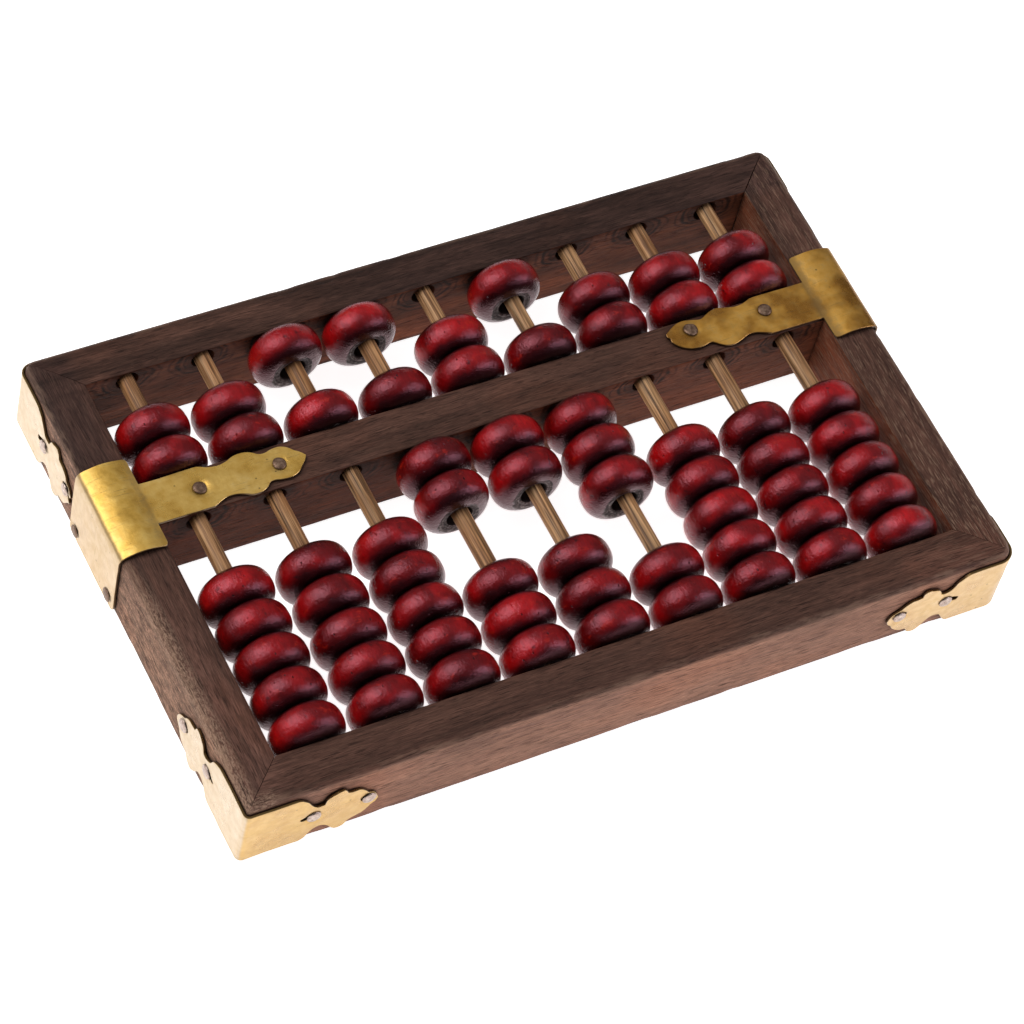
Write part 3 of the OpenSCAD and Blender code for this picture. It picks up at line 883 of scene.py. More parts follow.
# ---------------------------------------------------------------- beads
def bead_profile(radius, half, bore):
    """Closed profile (radius, axial, zone), from the middle of the bore over both ends."""
    major = radius - 4.55
    wall = [(bore, half * 0.45, 2.2), (bore, half - 0.62, 2.1), (bore + 0.10, half - 0.28, 1.95),
            (bore + 0.34, half - 0.06, 1.6), (bore + 0.60, half, 1.35)]
    groove = [(bore + 0.9, half - 0.01, 1.25), (bore + 1.05, half - 0.07, 1.22),
              (bore + 1.2, half - 0.01, 1.18)]
    power = 2.28     # of the superellipse from the flat end to the belt
    rim = []
    for angle in np.concatenate([np.linspace(84, 8, 13), [0.0]]):
        c, s = math.cos(math.radians(angle)), math.sin(math.radians(angle))
        r = major + (radius - major) * c ** (2 / power)
        rim.append((max(r, bore + 1.35), half * s ** (2 / power), angle / 90))
    upper = wall + groove + rim
    lower = [(r, -y, zone) for r, y, zone in upper[:-1]][::-1]
    return np.array([(bore, 0.0, 2.2)] + upper + lower)


def bead(name, x, y, z, seed):
    rng = np.random.default_rng(seed)
    radius = BEAD_R * (1 - rng.uniform(0.0, 0.012))
    half = BEAD_T / 2 - rng.uniform(0.01, 0.09)
    r, axial, zone = bead_profile(radius, half, BORE_R).T
    rows, cols = len(r), 56
    turn = around(cols)
    local = np.stack([r[:, None] * np.cos(turn), np.repeat(axial[:, None], cols, 1),
                      r[:, None] * np.sin(turn)], 2).reshape(-1, 3)
    zone, r = np.repeat(zone, cols), np.repeat(r, cols)
    own = rng.uniform(0, 1)
    shift = rng.uniform(0, 20, 3)
    dent = 0.075 * (noise(local / 7.5 + shift, 71) - 1) / 2
    dent += 0.045 * (noise(local / 2.6 + shift, 72) - 1) / 2
    dent -= 0.12 * np.maximum(0, noise(local / 1.6 + shift, 73) - 0.62)
    # dents go radially at the belt and axially on the flat ends; the bore keeps its shape
    nought = np.zeros(len(local))
    outward = np.stack([np.cos(np.tile(turn, rows)), nought, np.sin(np.tile(turn, rows))], 1)
    endward = np.stack([nought, np.sign(local[:, 1]), nought], 1)
    flat = np.clip(zone, 0, 1)[:, None]
    move = (outward * (1 - flat) + endward * flat) * dent[:, None]
    move[zone > 1.9] = 0
    spin = rng.uniform(0, 2 * math.pi)
    tilt_x, tilt_z = math.radians(rng.uniform(-0.7, 0.7)), math.radians(rng.uniform(-0.8, 0.8))
    tilt = np.array(Matrix.Rotation(tilt_z, 3, "Z") @ Matrix.Rotation(tilt_x, 3, "X"))
    centre = np.array([x + rng.uniform(-0.09, 0.09), y + rng.uniform(-0.02, 0.02), z])
    faces = []
    for i in range(rows):
        ring, following = i * cols, (i + 1) % rows * cols
        for j in range(cols):
            k = (j + 1) % cols
            faces.append((ring + j, ring + k, following + k, following + j))
    ob = mesh_object(name, (local + move) @ tilt.T + centre, faces)
    c, s = math.cos(spin), math.sin(spin)
    spun = np.stack([local[:, 0] * c - local[:, 2] * s, local[:, 1],
                     local[:, 0] * s + local[:, 2] * c], 1)
    put_vector(ob, "tc", spun + np.array([seed % 97, seed % 89, seed % 83]) * 25.0)
    put_vector(ob, "pf", np.stack([zone, r, np.full(len(zone), own)], 1))
    put_vector(ob, "lc", local)
    return ob


# a CAD node stands for one bead or a stack of touching beads along Y
total = 0
for node in sorted(n for n in nodes if n.startswith(("heaven_", "earth_"))):
    lo, hi = box(node)
    length = hi[1] - lo[1]
    count = round((length - BEAD_T) / (BEAD_T + 0.05)) + 1
    step = (length - BEAD_T) / (count - 1) if count > 1 else 0
    for i in range(count):
        total += 1
        name = f"bead_{node}" + (f"_{i + 1}" if count > 1 else "")
        ob = bead(name, (lo[0] + hi[0]) / 2, lo[1] + BEAD_T / 2 + i * step,
                  (lo[2] + hi[2]) / 2, 1000 + 37 * total)
        register(ob, body_of[node], node, RED, angle=60)


# ---------------------------------------------------------------- brass sheet
def smooth_loop(outline, step=0.45):
    """A closed outline. A third entry marks a sharp corner; between corners it is a curve."""
    count = len(outline)
    corner = [len(p) > 2 for p in outline]
    at = [np.array(p[:2], float) for p in outline]
    loop = []
    for i in range(count):
        j = (i + 1) % count
        p1, p2 = at[i], at[j]
        p0 = p1 - (p2 - p1) if corner[i] else at[i - 1]
        p3 = p2 + (p2 - p1) if corner[j] else at[(i + 2) % count]
        parts = max(1, int(np.linalg.norm(p2 - p1) / step))
        loop += [tuple(spline(p0, p1, p2, p3, t)) for t in np.arange(parts) / parts]
    return loop


def oval(cx, cy, rx, ry, seed):
    """An uneven nail hole."""
    wave = np.random.default_rng(seed).uniform(0, 6.28)
    return [(cx + rx * math.cos(a) * (1 + 0.05 * math.sin(3 * a + wave)),
             cy + ry * math.sin(a) * (1 + 0.05 * math.sin(2 * a + wave))) for a in around(22)]


def inside(at, loops):
    """Which points lie inside the outline and outside its holes."""
    odd = np.zeros(len(at), bool)
    for loop in loops:
        start = np.array(loop)
        for (x1, y1), (x2, y2) in zip(start, np.roll(start, -1, 0)):
            if y1 == y2:
                continue
            level = (at[:, 1] >= min(y1, y2)) & (at[:, 1] < max(y1, y2))
            odd ^= level & (at[:, 0] < x1 + (at[:, 1] - y1) * (x2 - x1) / (y2 - y1))
    return odd


def near_edge(at, loops, distance):
    near = np.zeros(len(at), bool)
    for loop in loops:
        start = np.array(loop)
        edges = np.roll(start, -1, 0) - start
        squares = np.maximum((edges ** 2).sum(1), 1e-12)
        for p0, edge, square in zip(start, edges, squares):
            t = np.clip(((at - p0) @ edge) / square, 0, 1)
            near |= ((at - p0 - t[:, None] * edge) ** 2).sum(1) < distance * distance
    return near


def split_at(loop, cuts):
    """Adds a point to the outline wherever it crosses one of the cuts in x."""
    out = []
    for p, q in zip(loop, loop[1:] + loop[:1]):
        out.append(p)
        if abs(q[0] - p[0]) > 1e-6:
            crossings = sorted((c - p[0]) / (q[0] - p[0]) for c in cuts)
            out += [(p[0] + t * (q[0] - p[0]), p[1] + t * (q[1] - p[1]))
                    for t in crossings if 0.08 < t < 0.92]
    return out


def area(loop):
    start = np.array(loop)
    end = np.roll(start, -1, 0)
    return (start[:, 0] * end[:, 1] - end[:, 0] * start[:, 1]).sum() / 2


def sheet(outline, holes, cuts_x, cuts_y):
    """A flat sheet with eased edges and a fine mesh, ready to be bent. Its middle is z = 0."""
    bevel = 0.11
    loops = [split_at(outline, cuts_x)] + holes
    # the outline anticlockwise, the holes clockwise
    loops = [l if (area(l) > 0) == (i == 0) else l[::-1] for i, l in enumerate(loops)]
    grid = np.stack([g.ravel() for g in np.meshgrid(cuts_x, cuts_y, indexing="ij")], 1)
    grid = grid[inside(grid, loops)]
    grid = grid[~near_edge(grid, loops, 0.38)]
    edges, base, inset = [], [], []
    for loop in loops:
        offset, count = len(base), len(loop)
        at = np.array(loop)
        run = np.roll(at, -1, 0) - np.roll(at, 1, 0)
        run /= np.maximum(np.linalg.norm(run, axis=1), 1e-9)[:, None]
        base += [tuple(p) for p in loop]
        inset += list(at + np.stack([-run[:, 1], run[:, 0]], 1) * bevel)
        edges += [(offset + i, offset + (i + 1) % count) for i in range(count)]
    flat = [Vector(p) for p in base] + [Vector(p) for p in grid]
    verts, _, faces, origins, _, _ = delaunay_2d_cdt(flat, edges, [], 0, 1e-5)
    source = [min(o) if o else -1 for o in origins]
    verts = np.array([tuple(v) for v in verts])
    keep = inside(np.array([verts[list(f)].mean(0) for f in faces]), loops)

    bm = bmesh.new()
    inset += [tuple(v) for v in flat[len(base):]]
    top = [bm.verts.new((x, y, SHEET / 2)) for x, y in inset]
    bottom = [bm.verts.new((x, y, -SHEET / 2)) for x, y in inset]
    upper = [bm.verts.new((*v, SHEET / 2 - bevel)) for v in flat[:len(base)]]
    lower = [bm.verts.new((*v, -SHEET / 2 + bevel)) for v in flat[:len(base)]]
    for face, kept in zip(faces, keep):
        if not kept or any(source[v] < 0 for v in face):
            continue
        i, j, k = (source[v] for v in face)
        # guards against a triangle that is there already
        try:
            bm.faces.new((top[i], top[j], top[k]))
            bm.faces.new((bottom[k], bottom[j], bottom[i]))
        except ValueError:
            pass
    for i, j in edges:
        for high, low in ((top, upper), (upper, lower), (lower, bottom)):
            bm.faces.new((high[j], high[i], low[i], low[j]))
    loose = [v for v in bm.verts if not v.link_faces]
    bmesh.ops.delete(bm, geom=loose, context="VERTS")
    return bm


def bend(bm, name, to_frame, tarnish, own, seed, dent, dimples):
    """Bends a flat sheet into place. to_frame maps (s, t, height off the wood) to the frame.
    dent is how far it stands off unevenly; dimples are the (s, t) of its nails."""
    co = np.array([v.co for v in bm.verts], float)
    s, t, height = co[:, 0], co[:, 1], co[:, 2] + SHEET / 2
    rim = np.clip((SHEET - 0.02 - height) / 0.1, 0, 1)
    flat = np.stack([s, t, np.zeros(len(s))], 1)
    off = dent * (noise(flat / 6.5 + own * 9, seed) + 1) / 2
    off += dent * 0.4 * (noise(flat / 2.4 + own * 5, seed + 1) + 1) / 2
    ring = np.zeros(len(s))
    for nail_s, nail_t in dimples:
        away = np.hypot(s - nail_s, t - nail_t)
        off -= np.minimum(off, 0.16 * np.exp(-(away / 2.1) ** 2)) * 0.9
        # the upper side sinks under the nail head and rises in a lip round it
        height = height - 0.27 * np.exp(-(away / 2.05) ** 4) * (height > SHEET * 0.6)
        height = height + 0.05 * np.exp(-((away - 2.75) / 0.5) ** 2) * (height > SHEET * 0.6)
        ring = np.maximum(ring, 0.8 * np.exp(-((away - 1.75) / 0.35) ** 2))
    bent = to_frame(s, t, height + 0.015 + off)
    for v, at in zip(bm.verts, bent):
        v.co = Vector(at * MM)
    mesh = bpy.data.meshes.new(name)
    bmesh.ops.recalc_face_normals(bm, faces=bm.faces[:])
    bm.to_mesh(mesh)
    bm.free()
    ob = new_object(name, mesh)
    put_vector(ob, "tc", flat + np.array([own * 300, own * 170, 0]))
    put_vector(ob, "lc", bent)
    tarnished = np.clip(tarnish(s, t) + 0.35 * ring, 0, 1)
    put_vector(ob, "pf", np.stack([tarnished, rim, np.full(len(s), own)], 1))
    return ob


def components(node):
    """Lowest and highest corner of each separate solid of a CAD node, in mm."""
    mesh = nodes[node].data
    co = np.array([v.co for v in mesh.vertices], float) / MM
    _, ids = np.unique(np.round(co, 3), axis=0, return_inverse=True)
    ids = np.asarray(ids).ravel()
    parent = np.arange(ids.max() + 1)

    def find(i):
        while parent[i] != i:
            parent[i] = parent[parent[i]]
            i = parent[i]
        return i

    for polygon in mesh.polygons:
        first, *others = [find(ids[i]) for i in polygon.vertices]
        for other in others:
            parent[find(other)] = find(first)
    roots = np.array([find(i) for i in ids])
    return [(co[roots == r].min(0), co[roots == r].max(0)) for r in np.unique(roots)]


# ---------------------------------------------------------------- straps
# underside of the head over the side rail, from its inner edge to the flange:
# (distance from the outer face, height above the deck)
HEAD_PATH = [(a, DECK_Z + rise) for a, rise in [
    (SIDE_W, 0), (SIDE_W - 0.5, 0.05), (SIDE_W - 1.4, 0.21), (SIDE_W - 2.6, 0.48),
    (SIDE_W - 3.8, 0.72), (SIDE_W - 5.0, 0.84), (4.8, 0.84), (3.6, 0.70), (2.4, 0.43),
    (1.5, 0.17), (0.90, -0.06), (0.48, -0.30), (0.20, -0.62), (0.06, -1.00), (0.0, -1.40),
    (0.0, -1.9)]]
head = np.array(HEAD_PATH, float)
head_path = []
for i in range(len(head) - 1):
    four = [head[max(0, min(len(head) - 1, j))] for j in (i - 1, i, i + 1, i + 2)]
    head_path += [spline(*four, t) for t in np.linspace(0, 1, 8, endpoint=False)]
head_path = np.array(head_path + [head[-1]])
head_steps = np.linalg.norm(np.diff(head_path, axis=0), axis=1)
head_run = np.concatenate([[0], np.cumsum(head_steps)])
head_dir = np.gradient(head_path, axis=0)
head_dir[-1] = (0, -1)
head_dir /= np.linalg.norm(head_dir, axis=1)[:, None]
head_out = np.stack([head_dir[:, 1], -head_dir[:, 0]], 1)   # outwards, off the wood
# along the flattened strap: top of the flange, the fold over the arris, foot of the flange
FLANGE_Z = head_path[-1, 1]
S_FLANGE = -head_run[-1]
S_FOLD = -float(np.interp(0.55, head_path[::-1, 0], head_run[::-1]))
S_END = S_FLANGE - (FLANGE_Z - 0.5)
FLANGE_NAIL_DROP = 0.8      # below the CAD nails


def strap_map(side):
    """side -1 is the left strap. s runs inwards from the side rail's inner face, t is y."""

    def to_frame(s, t, height):
        a = np.zeros(len(s))
        z = np.zeros(len(s))
        arm = s >= 0
        a[arm], z[arm] = SIDE_W + s[arm], DECK_Z + height[arm]
        over = (s < 0) & (s >= S_FLANGE)
        a[over], z[over] = (
            np.interp(-s[over], head_run, head_path[:, i])
            + height[over] * np.interp(-s[over], head_run, head_out[:, i]) for i in (0, 1))
        flange = s < S_FLANGE
        a[flange], z[flange] = -height[flange], FLANGE_Z - (S_FLANGE - s[flange])
        return np.stack([side * (HALF_W - a), t, z], 1)

    return to_frame


def top_nail_shift(centre):
    """The right strap's arm nails sit further back than in the CAD, the inner ones most."""
    if centre[0] < 0:
        return 0
    return 1.25 + (0.75 if IN_X - abs(centre[0]) > 20 else 0)


# outlines of the arms on the beam: (s, y from the beam's middle), a third entry marks a corner
LEFT_ARM = [
    (0, 5.50, 1), (5, 5.42), (12.6, 5.55), (14.3, 5.30), (16.0, 4.55), (18.2, 4.15),
    (20.2, 4.45), (22.6, 5.35), (25.0, 5.45), (26.8, 4.85), (28.1, 3.95), (29.6, 3.80),
    (31.4, 4.25), (33.4, 4.25), (35.0, 3.45), (36.0, 2.35), (37.2, 1.35), (38.1, 0.15, 1),
    (37.4, -0.95), (36.3, -2.0), (34.9, -3.35), (32.8, -4.15), (30.4, -4.0), (28.9, -3.65),
    (27.7, -3.75), (26.9, -4.55), (25.2, -5.45), (22.9, -5.55), (20.9, -4.75), (19.2, -4.25),
    (17.2, -4.2), (15.5, -4.75), (13.6, -5.50), (12.4, -5.55), (0, -5.55, 1)]
RIGHT_ARM = [
    (0, 5.50, 1), (6, 5.48), (13.2, 5.55), (14.8, 5.25), (16.6, 4.65), (18.8, 4.55),
    (20.8, 5.05), (23.0, 5.58), (25.0, 5.25), (26.6, 4.50), (28.0, 4.0), (29.8, 4.40),
    (31.8, 4.85), (33.6, 4.75), (35.2, 4.15), (36.6, 3.35), (37.6, 2.75, 1), (37.7, 1.9),
    (37.2, 1.2), (37.3, 0.3, 1), (36.7, -0.75), (35.4, -2.0), (33.8, -2.85), (32.0, -3.15),
    (30.4, -3.10), (29.0, -2.75), (28.0, -2.85), (27.0, -3.75), (25.4, -4.75), (23.4, -5.05),
    (21.2, -4.45), (19.3, -3.75), (17.3, -3.75), (15.6, -4.35), (13.8, -5.05), (12.6, -5.25),
    (0, -5.35, 1)]
strap_nails = components("strap_nails")


def build_strap(side, name, arm, own, top_tarnish):
    front, back = HEAD_F + 0.05, HEAD_B - 0.05
    outline = [(s, BEAM_Y + t, *corner) for s, t, *corner in arm]
    outline += [
        (0.0, front + 0.9, 1), (-0.35, front + 0.2), (-1.0, front, 1),
        (S_FOLD, front + 0.05, 1), (S_FLANGE - 8, front + 0.05), (S_END + 2.2, front - 0.25),
        (S_END + 0.6, front + 0.35), (S_END, front + 1.9), (S_END + 0.05, (front + back) / 2),
        (S_END, back - 2.4), (S_END + 0.6, back - 1.0), (S_END + 2.2, back - 0.45),
        (S_FLANGE - 8, back - 0.2), (S_FOLD, back - 0.05, 1), (-1.0, back, 1),
        (-0.35, back - 0.2), (0.0, back - 0.9, 1)]
    nails = []
    for lo, hi in strap_nails:
        centre = (lo + hi) / 2
        if centre[0] * side < 0:
            continue
        if hi[2] > DECK_Z:
            nails.append((IN_X - abs(centre[0]), centre[1] + top_nail_shift(centre)))
        else:
            nails.append((S_FLANGE - (FLANGE_Z - centre[2] + FLANGE_NAIL_DROP), centre[1]))
    holes = [oval(s, t, 0.75, 0.75, 7) for s, t in nails]
    cuts_x = np.concatenate([
        np.arange(S_END + 1, S_FLANGE - 0.5, 1.0), np.arange(S_FLANGE, S_FOLD + 1.2, 0.22),
        np.arange(S_FOLD + 1.5, -0.9, 0.6), [-0.6, -0.25, 0.0, 0.3, 0.7],
        np.arange(1.4, 38, 0.8)])

    def tarnish(s, t):
        creases = (0.55 * np.exp(-((s + 0.6) / 1.5) ** 2)
                   + 0.85 * np.exp(-((s - S_FOLD + 0.25) / 0.38) ** 2))
        return creases + np.where(s > S_FOLD, top_tarnish, 0.0)

    bm = sheet(smooth_loop(outline), holes, cuts_x, np.arange(HEAD_F + 0.6, HEAD_B, 0.8))
    ob = bend(bm, f"brass_strap_{name}", strap_map(side), tarnish, own,
              seed=81 + side, dent=0.16, dimples=nails)
    register(ob, "frame", f"strap_{name}", BRASS, angle=40)


build_strap(-1, "left", LEFT_ARM, own=0.21, top_tarnish=0.16)
build_strap(1, "right", RIGHT_ARM, own=0.63, top_tarnish=0.36)


# ---------------------------------------------------------------- corner plates
# outline of one wing: (distance from the corner, height), a third entry marks a sharp corner
WING = [
    (3.0, 18.3), (10.4, 18.3), (12.2, 17.9), (13.4, 17.1), (14.4, 16.0), (15.3, 14.6),
    (16.3, 13.6), (17.4, 13.25), (18.35, 13.45, 1), (18.75, 14.6), (19.5, 15.6), (20.6, 16.2),
    (21.8, 16.65), (22.8, 16.55), (23.35, 16.0), (23.7, 15.0, 1), (24.7, 14.65), (26.2, 14.5),
    (27.5, 13.75), (28.3, 12.7), (29.2, 11.9), (30.3, 11.1), (31.2, 10.1), (31.6, 8.9, 1),
    (31.0, 7.7), (30.0, 6.9), (29.2, 5.5), (28.2, 4.35), (26.8, 3.8), (25.5, 3.5),
    (24.9, 2.7, 1), (24.3, 1.85), (23.2, 1.3), (22.1, 1.5), (21.1, 2.5), (20.2, 3.8),
    (19.2, 4.75), (18.0, 5.05), (16.8, 4.6), (15.8, 3.4), (15.0, 2.1), (13.9, 1.3),
    (12.6, 1.2), (3.0, 1.2)]
corner_nails = components("corner_nails")


def plate_map(sx, sy):
    """sx, sy name the corner. s > 0 runs along the long rail, s < 0 along the side rail, t is z."""
    radius = RADII[sx, sy]

    def to_frame(s, t, height):
        x, y = np.zeros(len(s)), np.zeros(len(s))
        on = s >= radius
        x[on], y[on] = -HALF_W + s[on], -HALF_D - height[on]
        on = s <= -radius
        x[on], y[on] = -HALF_W - height[on], -HALF_D - s[on]
        on = np.abs(s) < radius
        angle = math.radians(225) + np.radians(45) * s[on] / radius
        x[on] = -HALF_W + radius + (radius + height[on]) * np.cos(angle)
        y[on] = -HALF_D + radius + (radius + height[on]) * np.sin(angle)
        return np.stack([-sx * x, -sy * y, t], 1)

    return to_frame


def on_long_rail(lo, hi):
    """Whether a corner nail's head stands out from the front or back face."""
    return max(abs(lo[1]), abs(hi[1])) > HALF_D + 0.1


def nudge(centre):
    """How far along s a nail of the front left plate sits from its CAD place."""
    if centre[0] > 0 or centre[1] > 0:
        return 0.0
    if centre[1] > -HALF_D + 3:
        return -1.3
    return 0.9 if centre[0] > -HALF_W + 22 else 0.0


def plate_outline(corner, sy, rng):
    """Two wings, each point moved a little. flip 1 is the long rail's wing, -1 the side rail's."""
    outline = []
    for flip in (1, -1):
        for along, up, *sharp in WING[::flip]:
            wobble = rng.uniform(-0.14, 0.14, 2) if along > 11 else (0, 0)
            s = along + wobble[0]
            z = PLATE_LOW + (up - 1.2) * (PLATE_TOP - PLATE_LOW) / 17.1
            if up >= 1.6:
                z += wobble[1]
            if sy > 0 and flip > 0 and up > 17:
                z -= 0.5
            if flip < 0 and corner == "bl" and along > 31.5:
                s -= 2.0
            if corner == "fl" and flip < 0:
                s += 1.35 * float(smooth(s, 8.0, 13.0))
            outline.append((flip * s, z, *sharp))
    return smooth_loop(outline)


def plate_tarnish(s, t):
    edges = smooth(np.abs(t - (PLATE_LOW + PLATE_TOP) / 2), 6.5, 9.0)
    return 0.30 * edges + 0.25 * np.exp(-(s / 1.2) ** 2) + 0.05


def build_plate(i, corner, sx, sy):
    outline = plate_outline(corner, sy, np.random.default_rng(500 + i))
    holes, dimples = [], []
    for lo, hi in corner_nails:
        centre = (lo + hi) / 2
        if centre[0] * sx < 0 or centre[1] * sy < 0:
            continue
        long_rail = on_long_rail(lo, hi)
        s = HALF_W - abs(centre[0]) if long_rail else -(HALF_D - abs(centre[1]))
        s += nudge(centre)
        # the torn holes reach beyond the nails, more so at the nails near the corner
        pull, half_width = (1.30, 2.0) if abs(s) < 22 else (-0.55, 1.45)
        holes.append(oval(s - math.copysign(pull, s), centre[2] + 0.15, half_width, 0.85, 11 + i))
        dimples.append((s, centre[2]))
    cuts_x = np.concatenate([
        np.arange(-31.2, -3.2, 0.8), np.linspace(-3, 3, 25), np.arange(3.7, 31.4, 0.8)])
    bm = sheet(outline, holes, cuts_x, np.arange(PLATE_LOW + 0.6, PLATE_TOP, 0.8))
    ob = bend(bm, f"brass_plate_{corner}", plate_map(sx, sy), plate_tarnish, 0.1 + 0.19 * i,
              seed=91 + i, dent=0.20 if sy < 0 else 0.08, dimples=dimples)
    register(ob, "frame", f"corner_plate_{corner}", BRASS, angle=40)


for i, plate in enumerate((("fl", -1, -1), ("fr", 1, -1), ("bl", -1, 1), ("br", 1, 1))):
    build_plate(i, *plate)


# ---------------------------------------------------------------- nails
def nail_heads(name, spots, radius, height, seed):
    """Domed, hand-struck heads on their shanks. spots: (point on the sheet, outward direction,
    shank length)."""
    verts, faces, place = [], [], []
    count = 30
    turn = around(count)
    cos, sin = np.cos(turn), np.sin(turn)
    for j, (at, out, length) in enumerate(spots):
        rng = np.random.default_rng(seed + j)
        size = radius * rng.uniform(0.95, 1.04)
        profile = [     # radius, height off the sheet
            (0.55, -length), (0.55, 0.02), (size * 0.90, 0.03), (size, 0.14),
            (size * 0.985, 0.24), (size * 0.93, height * 0.62), (size * 0.80, height * 0.82),
            (size * 0.60, height * 0.93), (size * 0.38, height * 0.98), (size * 0.16, height),
            (0.004, height)]
        axis = np.array(out, float)
        side = np.cross(axis, [0.3, 0.9, 0.2])
        side /= np.linalg.norm(side)
        other = np.cross(axis, side)
        tilt = rng.uniform(-0.035, 0.035, 2)
        offset = len(verts)
        for r, h in profile:
            local = np.stack([r * cos, r * sin, np.full(count, h)], 1)
            radii, heights = np.full(count, r), np.full(count, h)
            if r > 0.6:
                edge = np.stack([cos * 1.2 + j * 3, sin * 1.2, np.zeros(count)], 1)
                radii = r * (1 + 0.045 * noise(edge, seed + 1))
            if h > 0.3:
                heights = heights + (noise(local / 1.1 + j * 7.7, seed) * 0.055 - 0.04)
            if h > 0:
                heights = heights + (tilt[0] * local[:, 0] + tilt[1] * local[:, 1])
            verts += list(np.array(at) + np.outer(radii * cos, side)
                          + np.outer(radii * sin, other) + np.outer(heights, axis))
            place += list(local[:, :3] * (1, 1, 1) + (11 * j, 0, 0))
        faces += tube_faces(len(profile), count, offset)
    ob = mesh_object(name, verts, faces)
    put_vector(ob, "tc", place)
    return ob


spots = []
for lo, hi in corner_nails:
    centre = (lo + hi) / 2
    sx, sy = np.sign(centre[:2])
    if on_long_rail(lo, hi):
        at = (centre[0] + nudge(centre), sy * (HALF_D + SHEET + 0.02), centre[2])
        spots.append((at, (0, sy, 0), 3.0))
    else:
        at = (sx * (HALF_W + SHEET + 0.02), centre[1] - nudge(centre), centre[2])
        spots.append((at, (sx, 0, 0), 3.0))
ob = nail_heads("nails_corner", spots, radius=1.68, height=0.62, seed=140)
register(ob, "frame", "corner_nails", SILVER, angle=50)

spots = []
for lo, hi in strap_nails:
    centre = (lo + hi) / 2
    if hi[2] > DECK_Z:
        at = (centre[0], centre[1] + top_nail_shift(centre), DECK_Z + SHEET - 0.02)
        spots.append((at, (0, 0, 1), 1.5))
    else:
        sx = np.sign(centre[0])
        at = (sx * (HALF_W + SHEET + 0.02), centre[1], centre[2] - FLANGE_NAIL_DROP)
        spots.append((at, (sx, 0, 0), 1.5))
ob = nail_heads("nails_strap", spots, radius=1.65, height=0.58, seed=170)
register(ob, "frame", "strap_nails", BRONZE, angle=50)


# ---------------------------------------------------------------- floor, light, camera
def floor_material():
    """A pale table, lit through from below."""
    net = Material("pale_floor")
    place = net.node("ShaderNodeTexCoord", out="Object")
    cloud = place.noise(3.0, detail=4, rough=0.6)
    grain = place.noise(260.0, detail=3, rough=0.6)
    net.set(
        Base_Color=cloud.ramp([(0.3, (0.86, 0.86, 0.865)), (0.7, (0.90, 0.90, 0.90))]),
        Roughness=grain.step(0.3, 0.7, low=0.75, high=0.9),
        Specular_IOR_Level=0.2,
        Normal=net.bump(grain, distance=0.00005, strength=0.5),
        Emission_Color=(1.0, 1.0, 1.0),
        Emission_Strength=cloud.step(0.2, 0.8, low=0.90, high=0.95))
    return net.mat


FLOOR_HALF, FLOOR_Z = 4.0, -0.00025
mesh = bpy.data.meshes.new("floor")
mesh.from_pydata([(sx * FLOOR_HALF, sy * FLOOR_HALF, FLOOR_Z)
                  for sx, sy in ((-1, -1), (1, -1), (1, 1), (-1, 1))], [], [(0, 1, 2, 3)])
mesh.materials.append(floor_material())
new_object("floor", mesh)


def softbox(name, azimuth, elevation, width, height, watts, colour, distance=1.5):
    """A rectangular light aimed at the origin. azimuth: degrees from the front to the right."""
    turn, rise = math.radians(azimuth), math.radians(elevation)
    towards = Vector((math.sin(turn) * math.cos(rise), -math.cos(turn) * math.cos(rise),
                      math.sin(rise)))
    light = bpy.data.lights.new(name, "AREA")
    light.shape, light.size, light.size_y = "RECTANGLE", width, height
    light.energy, light.color = watts, colour
    ob = new_object(name, light)
    ob.location = towards * distance
    ob.rotation_mode = "QUATERNION"
    ob.rotation_quaternion = towards.to_track_quat("Z", "Y")
    ob.visible_camera = False


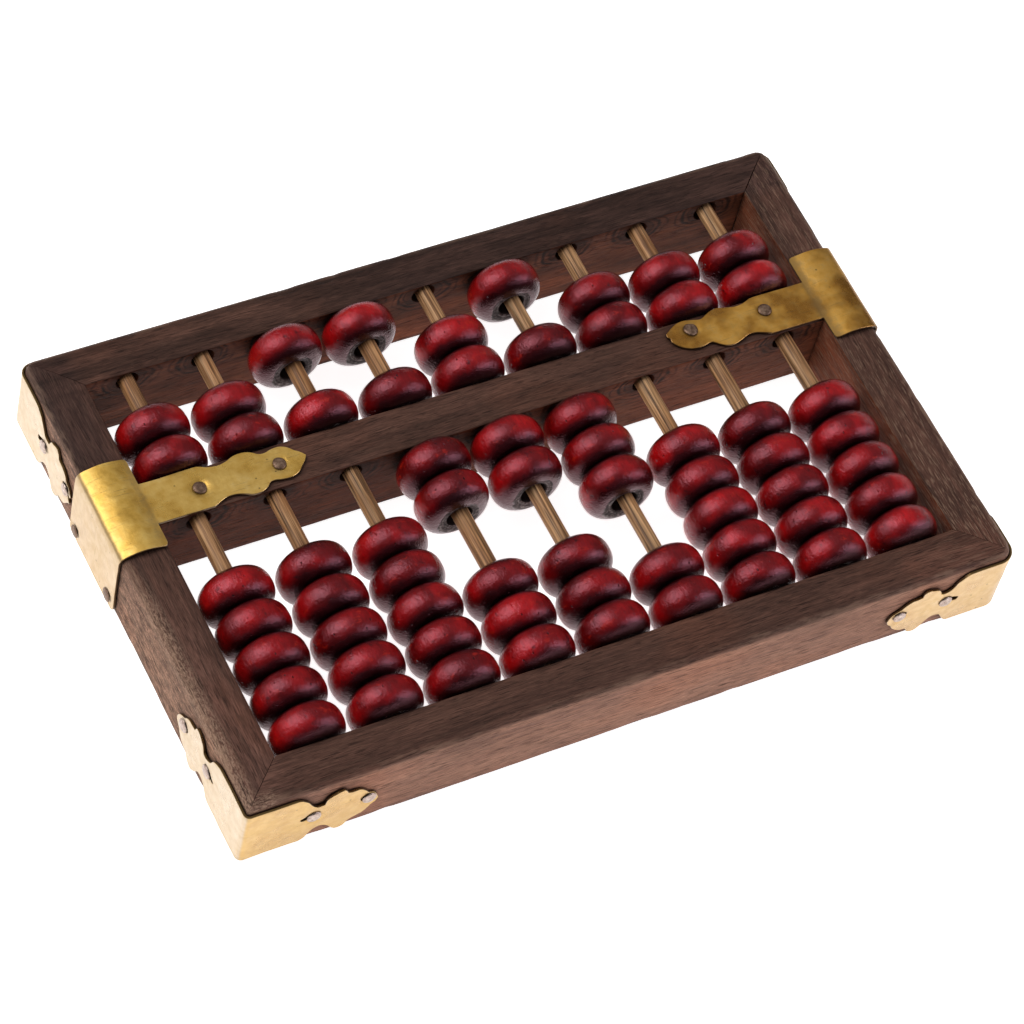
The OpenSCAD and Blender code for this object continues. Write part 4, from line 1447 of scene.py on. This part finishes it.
softbox("softbox_left", azimuth=-123, elevation=50, width=0.90, height=1.28, watts=13.8,
        colour=(1.0, 0.975, 0.985))
softbox("softbox_front", azimuth=57, elevation=27, width=0.72, height=0.72, watts=7.0,
        colour=(0.90, 0.86, 1.0))


def build_world():
    """A grey tent: dark on the camera's side, lit behind the object, pale to the camera."""
    world = bpy.data.worlds.new("studio")
    scene.world = world
    world.use_nodes = True
    tree = world.node_tree
    tree.nodes.clear()
    way = add_node(tree, "ShaderNodeTexCoord", out="Generated")
    up = way.split()[2]

    def greys(*stops):
        """Faintly blue grey by height. stops: (height, brightness)."""
        return up.ramp([(at, (v, v, v * 1.01)) for at, v in stops])

    camera_side = (-0.633, -0.774, 0.0)
    facing = way.node("ShaderNodeVectorMath", (way, camera_side), out=1, operation="DOT_PRODUCT")
    ahead = way.node("ShaderNodeMapRange", (facing, -0.35, 0.55))
    lit = greys((0.0, 0.13), (0.30, 0.12), (0.60, 0.20), (0.80, 0.47), (1.0, 0.27))
    dim = greys((0.0, 0.15), (0.30, 0.085), (0.75, 0.14), (1.0, 0.30))
    tent = way.node("ShaderNodeMixRGB", (ahead, lit, dim))
    seen = greys((0.0, 1.0), (0.30, 0.93), (0.75, 0.86), (1.0, 0.80))
    by_camera = way.node("ShaderNodeLightPath", out="Is Camera Ray")
    both = way.node("ShaderNodeMixRGB", (by_camera, tent, seen))
    background = way.node("ShaderNodeBackground", (both, 1.0))
    output = tree.nodes.new("ShaderNodeOutputWorld")
    put(tree, output.inputs[0], background)


build_world()

lens = bpy.data.cameras.new("camera")
lens.lens, lens.sensor_width = 152.29, 36
lens.clip_start, lens.clip_end = 0.01, 50
camera = new_object("camera", lens)
# the camera's right, up and backward directions
CAMERA_AXES = ((0.885734, -0.435659, 0.160241), (0.281560, 0.778672, 0.560708),
               (-0.369053, -0.451521, 0.812360))
camera_turn = Matrix(CAMERA_AXES).transposed().to_4x4()
camera.matrix_world = Matrix.Translation((-0.36194, -0.44437, 0.79740)) @ camera_turn
scene.camera = camera

scene.view_settings.view_transform = "Standard"
scene.view_settings.look = "None"
scene.view_settings.exposure = 0.0
scene.view_settings.gamma = 1.0
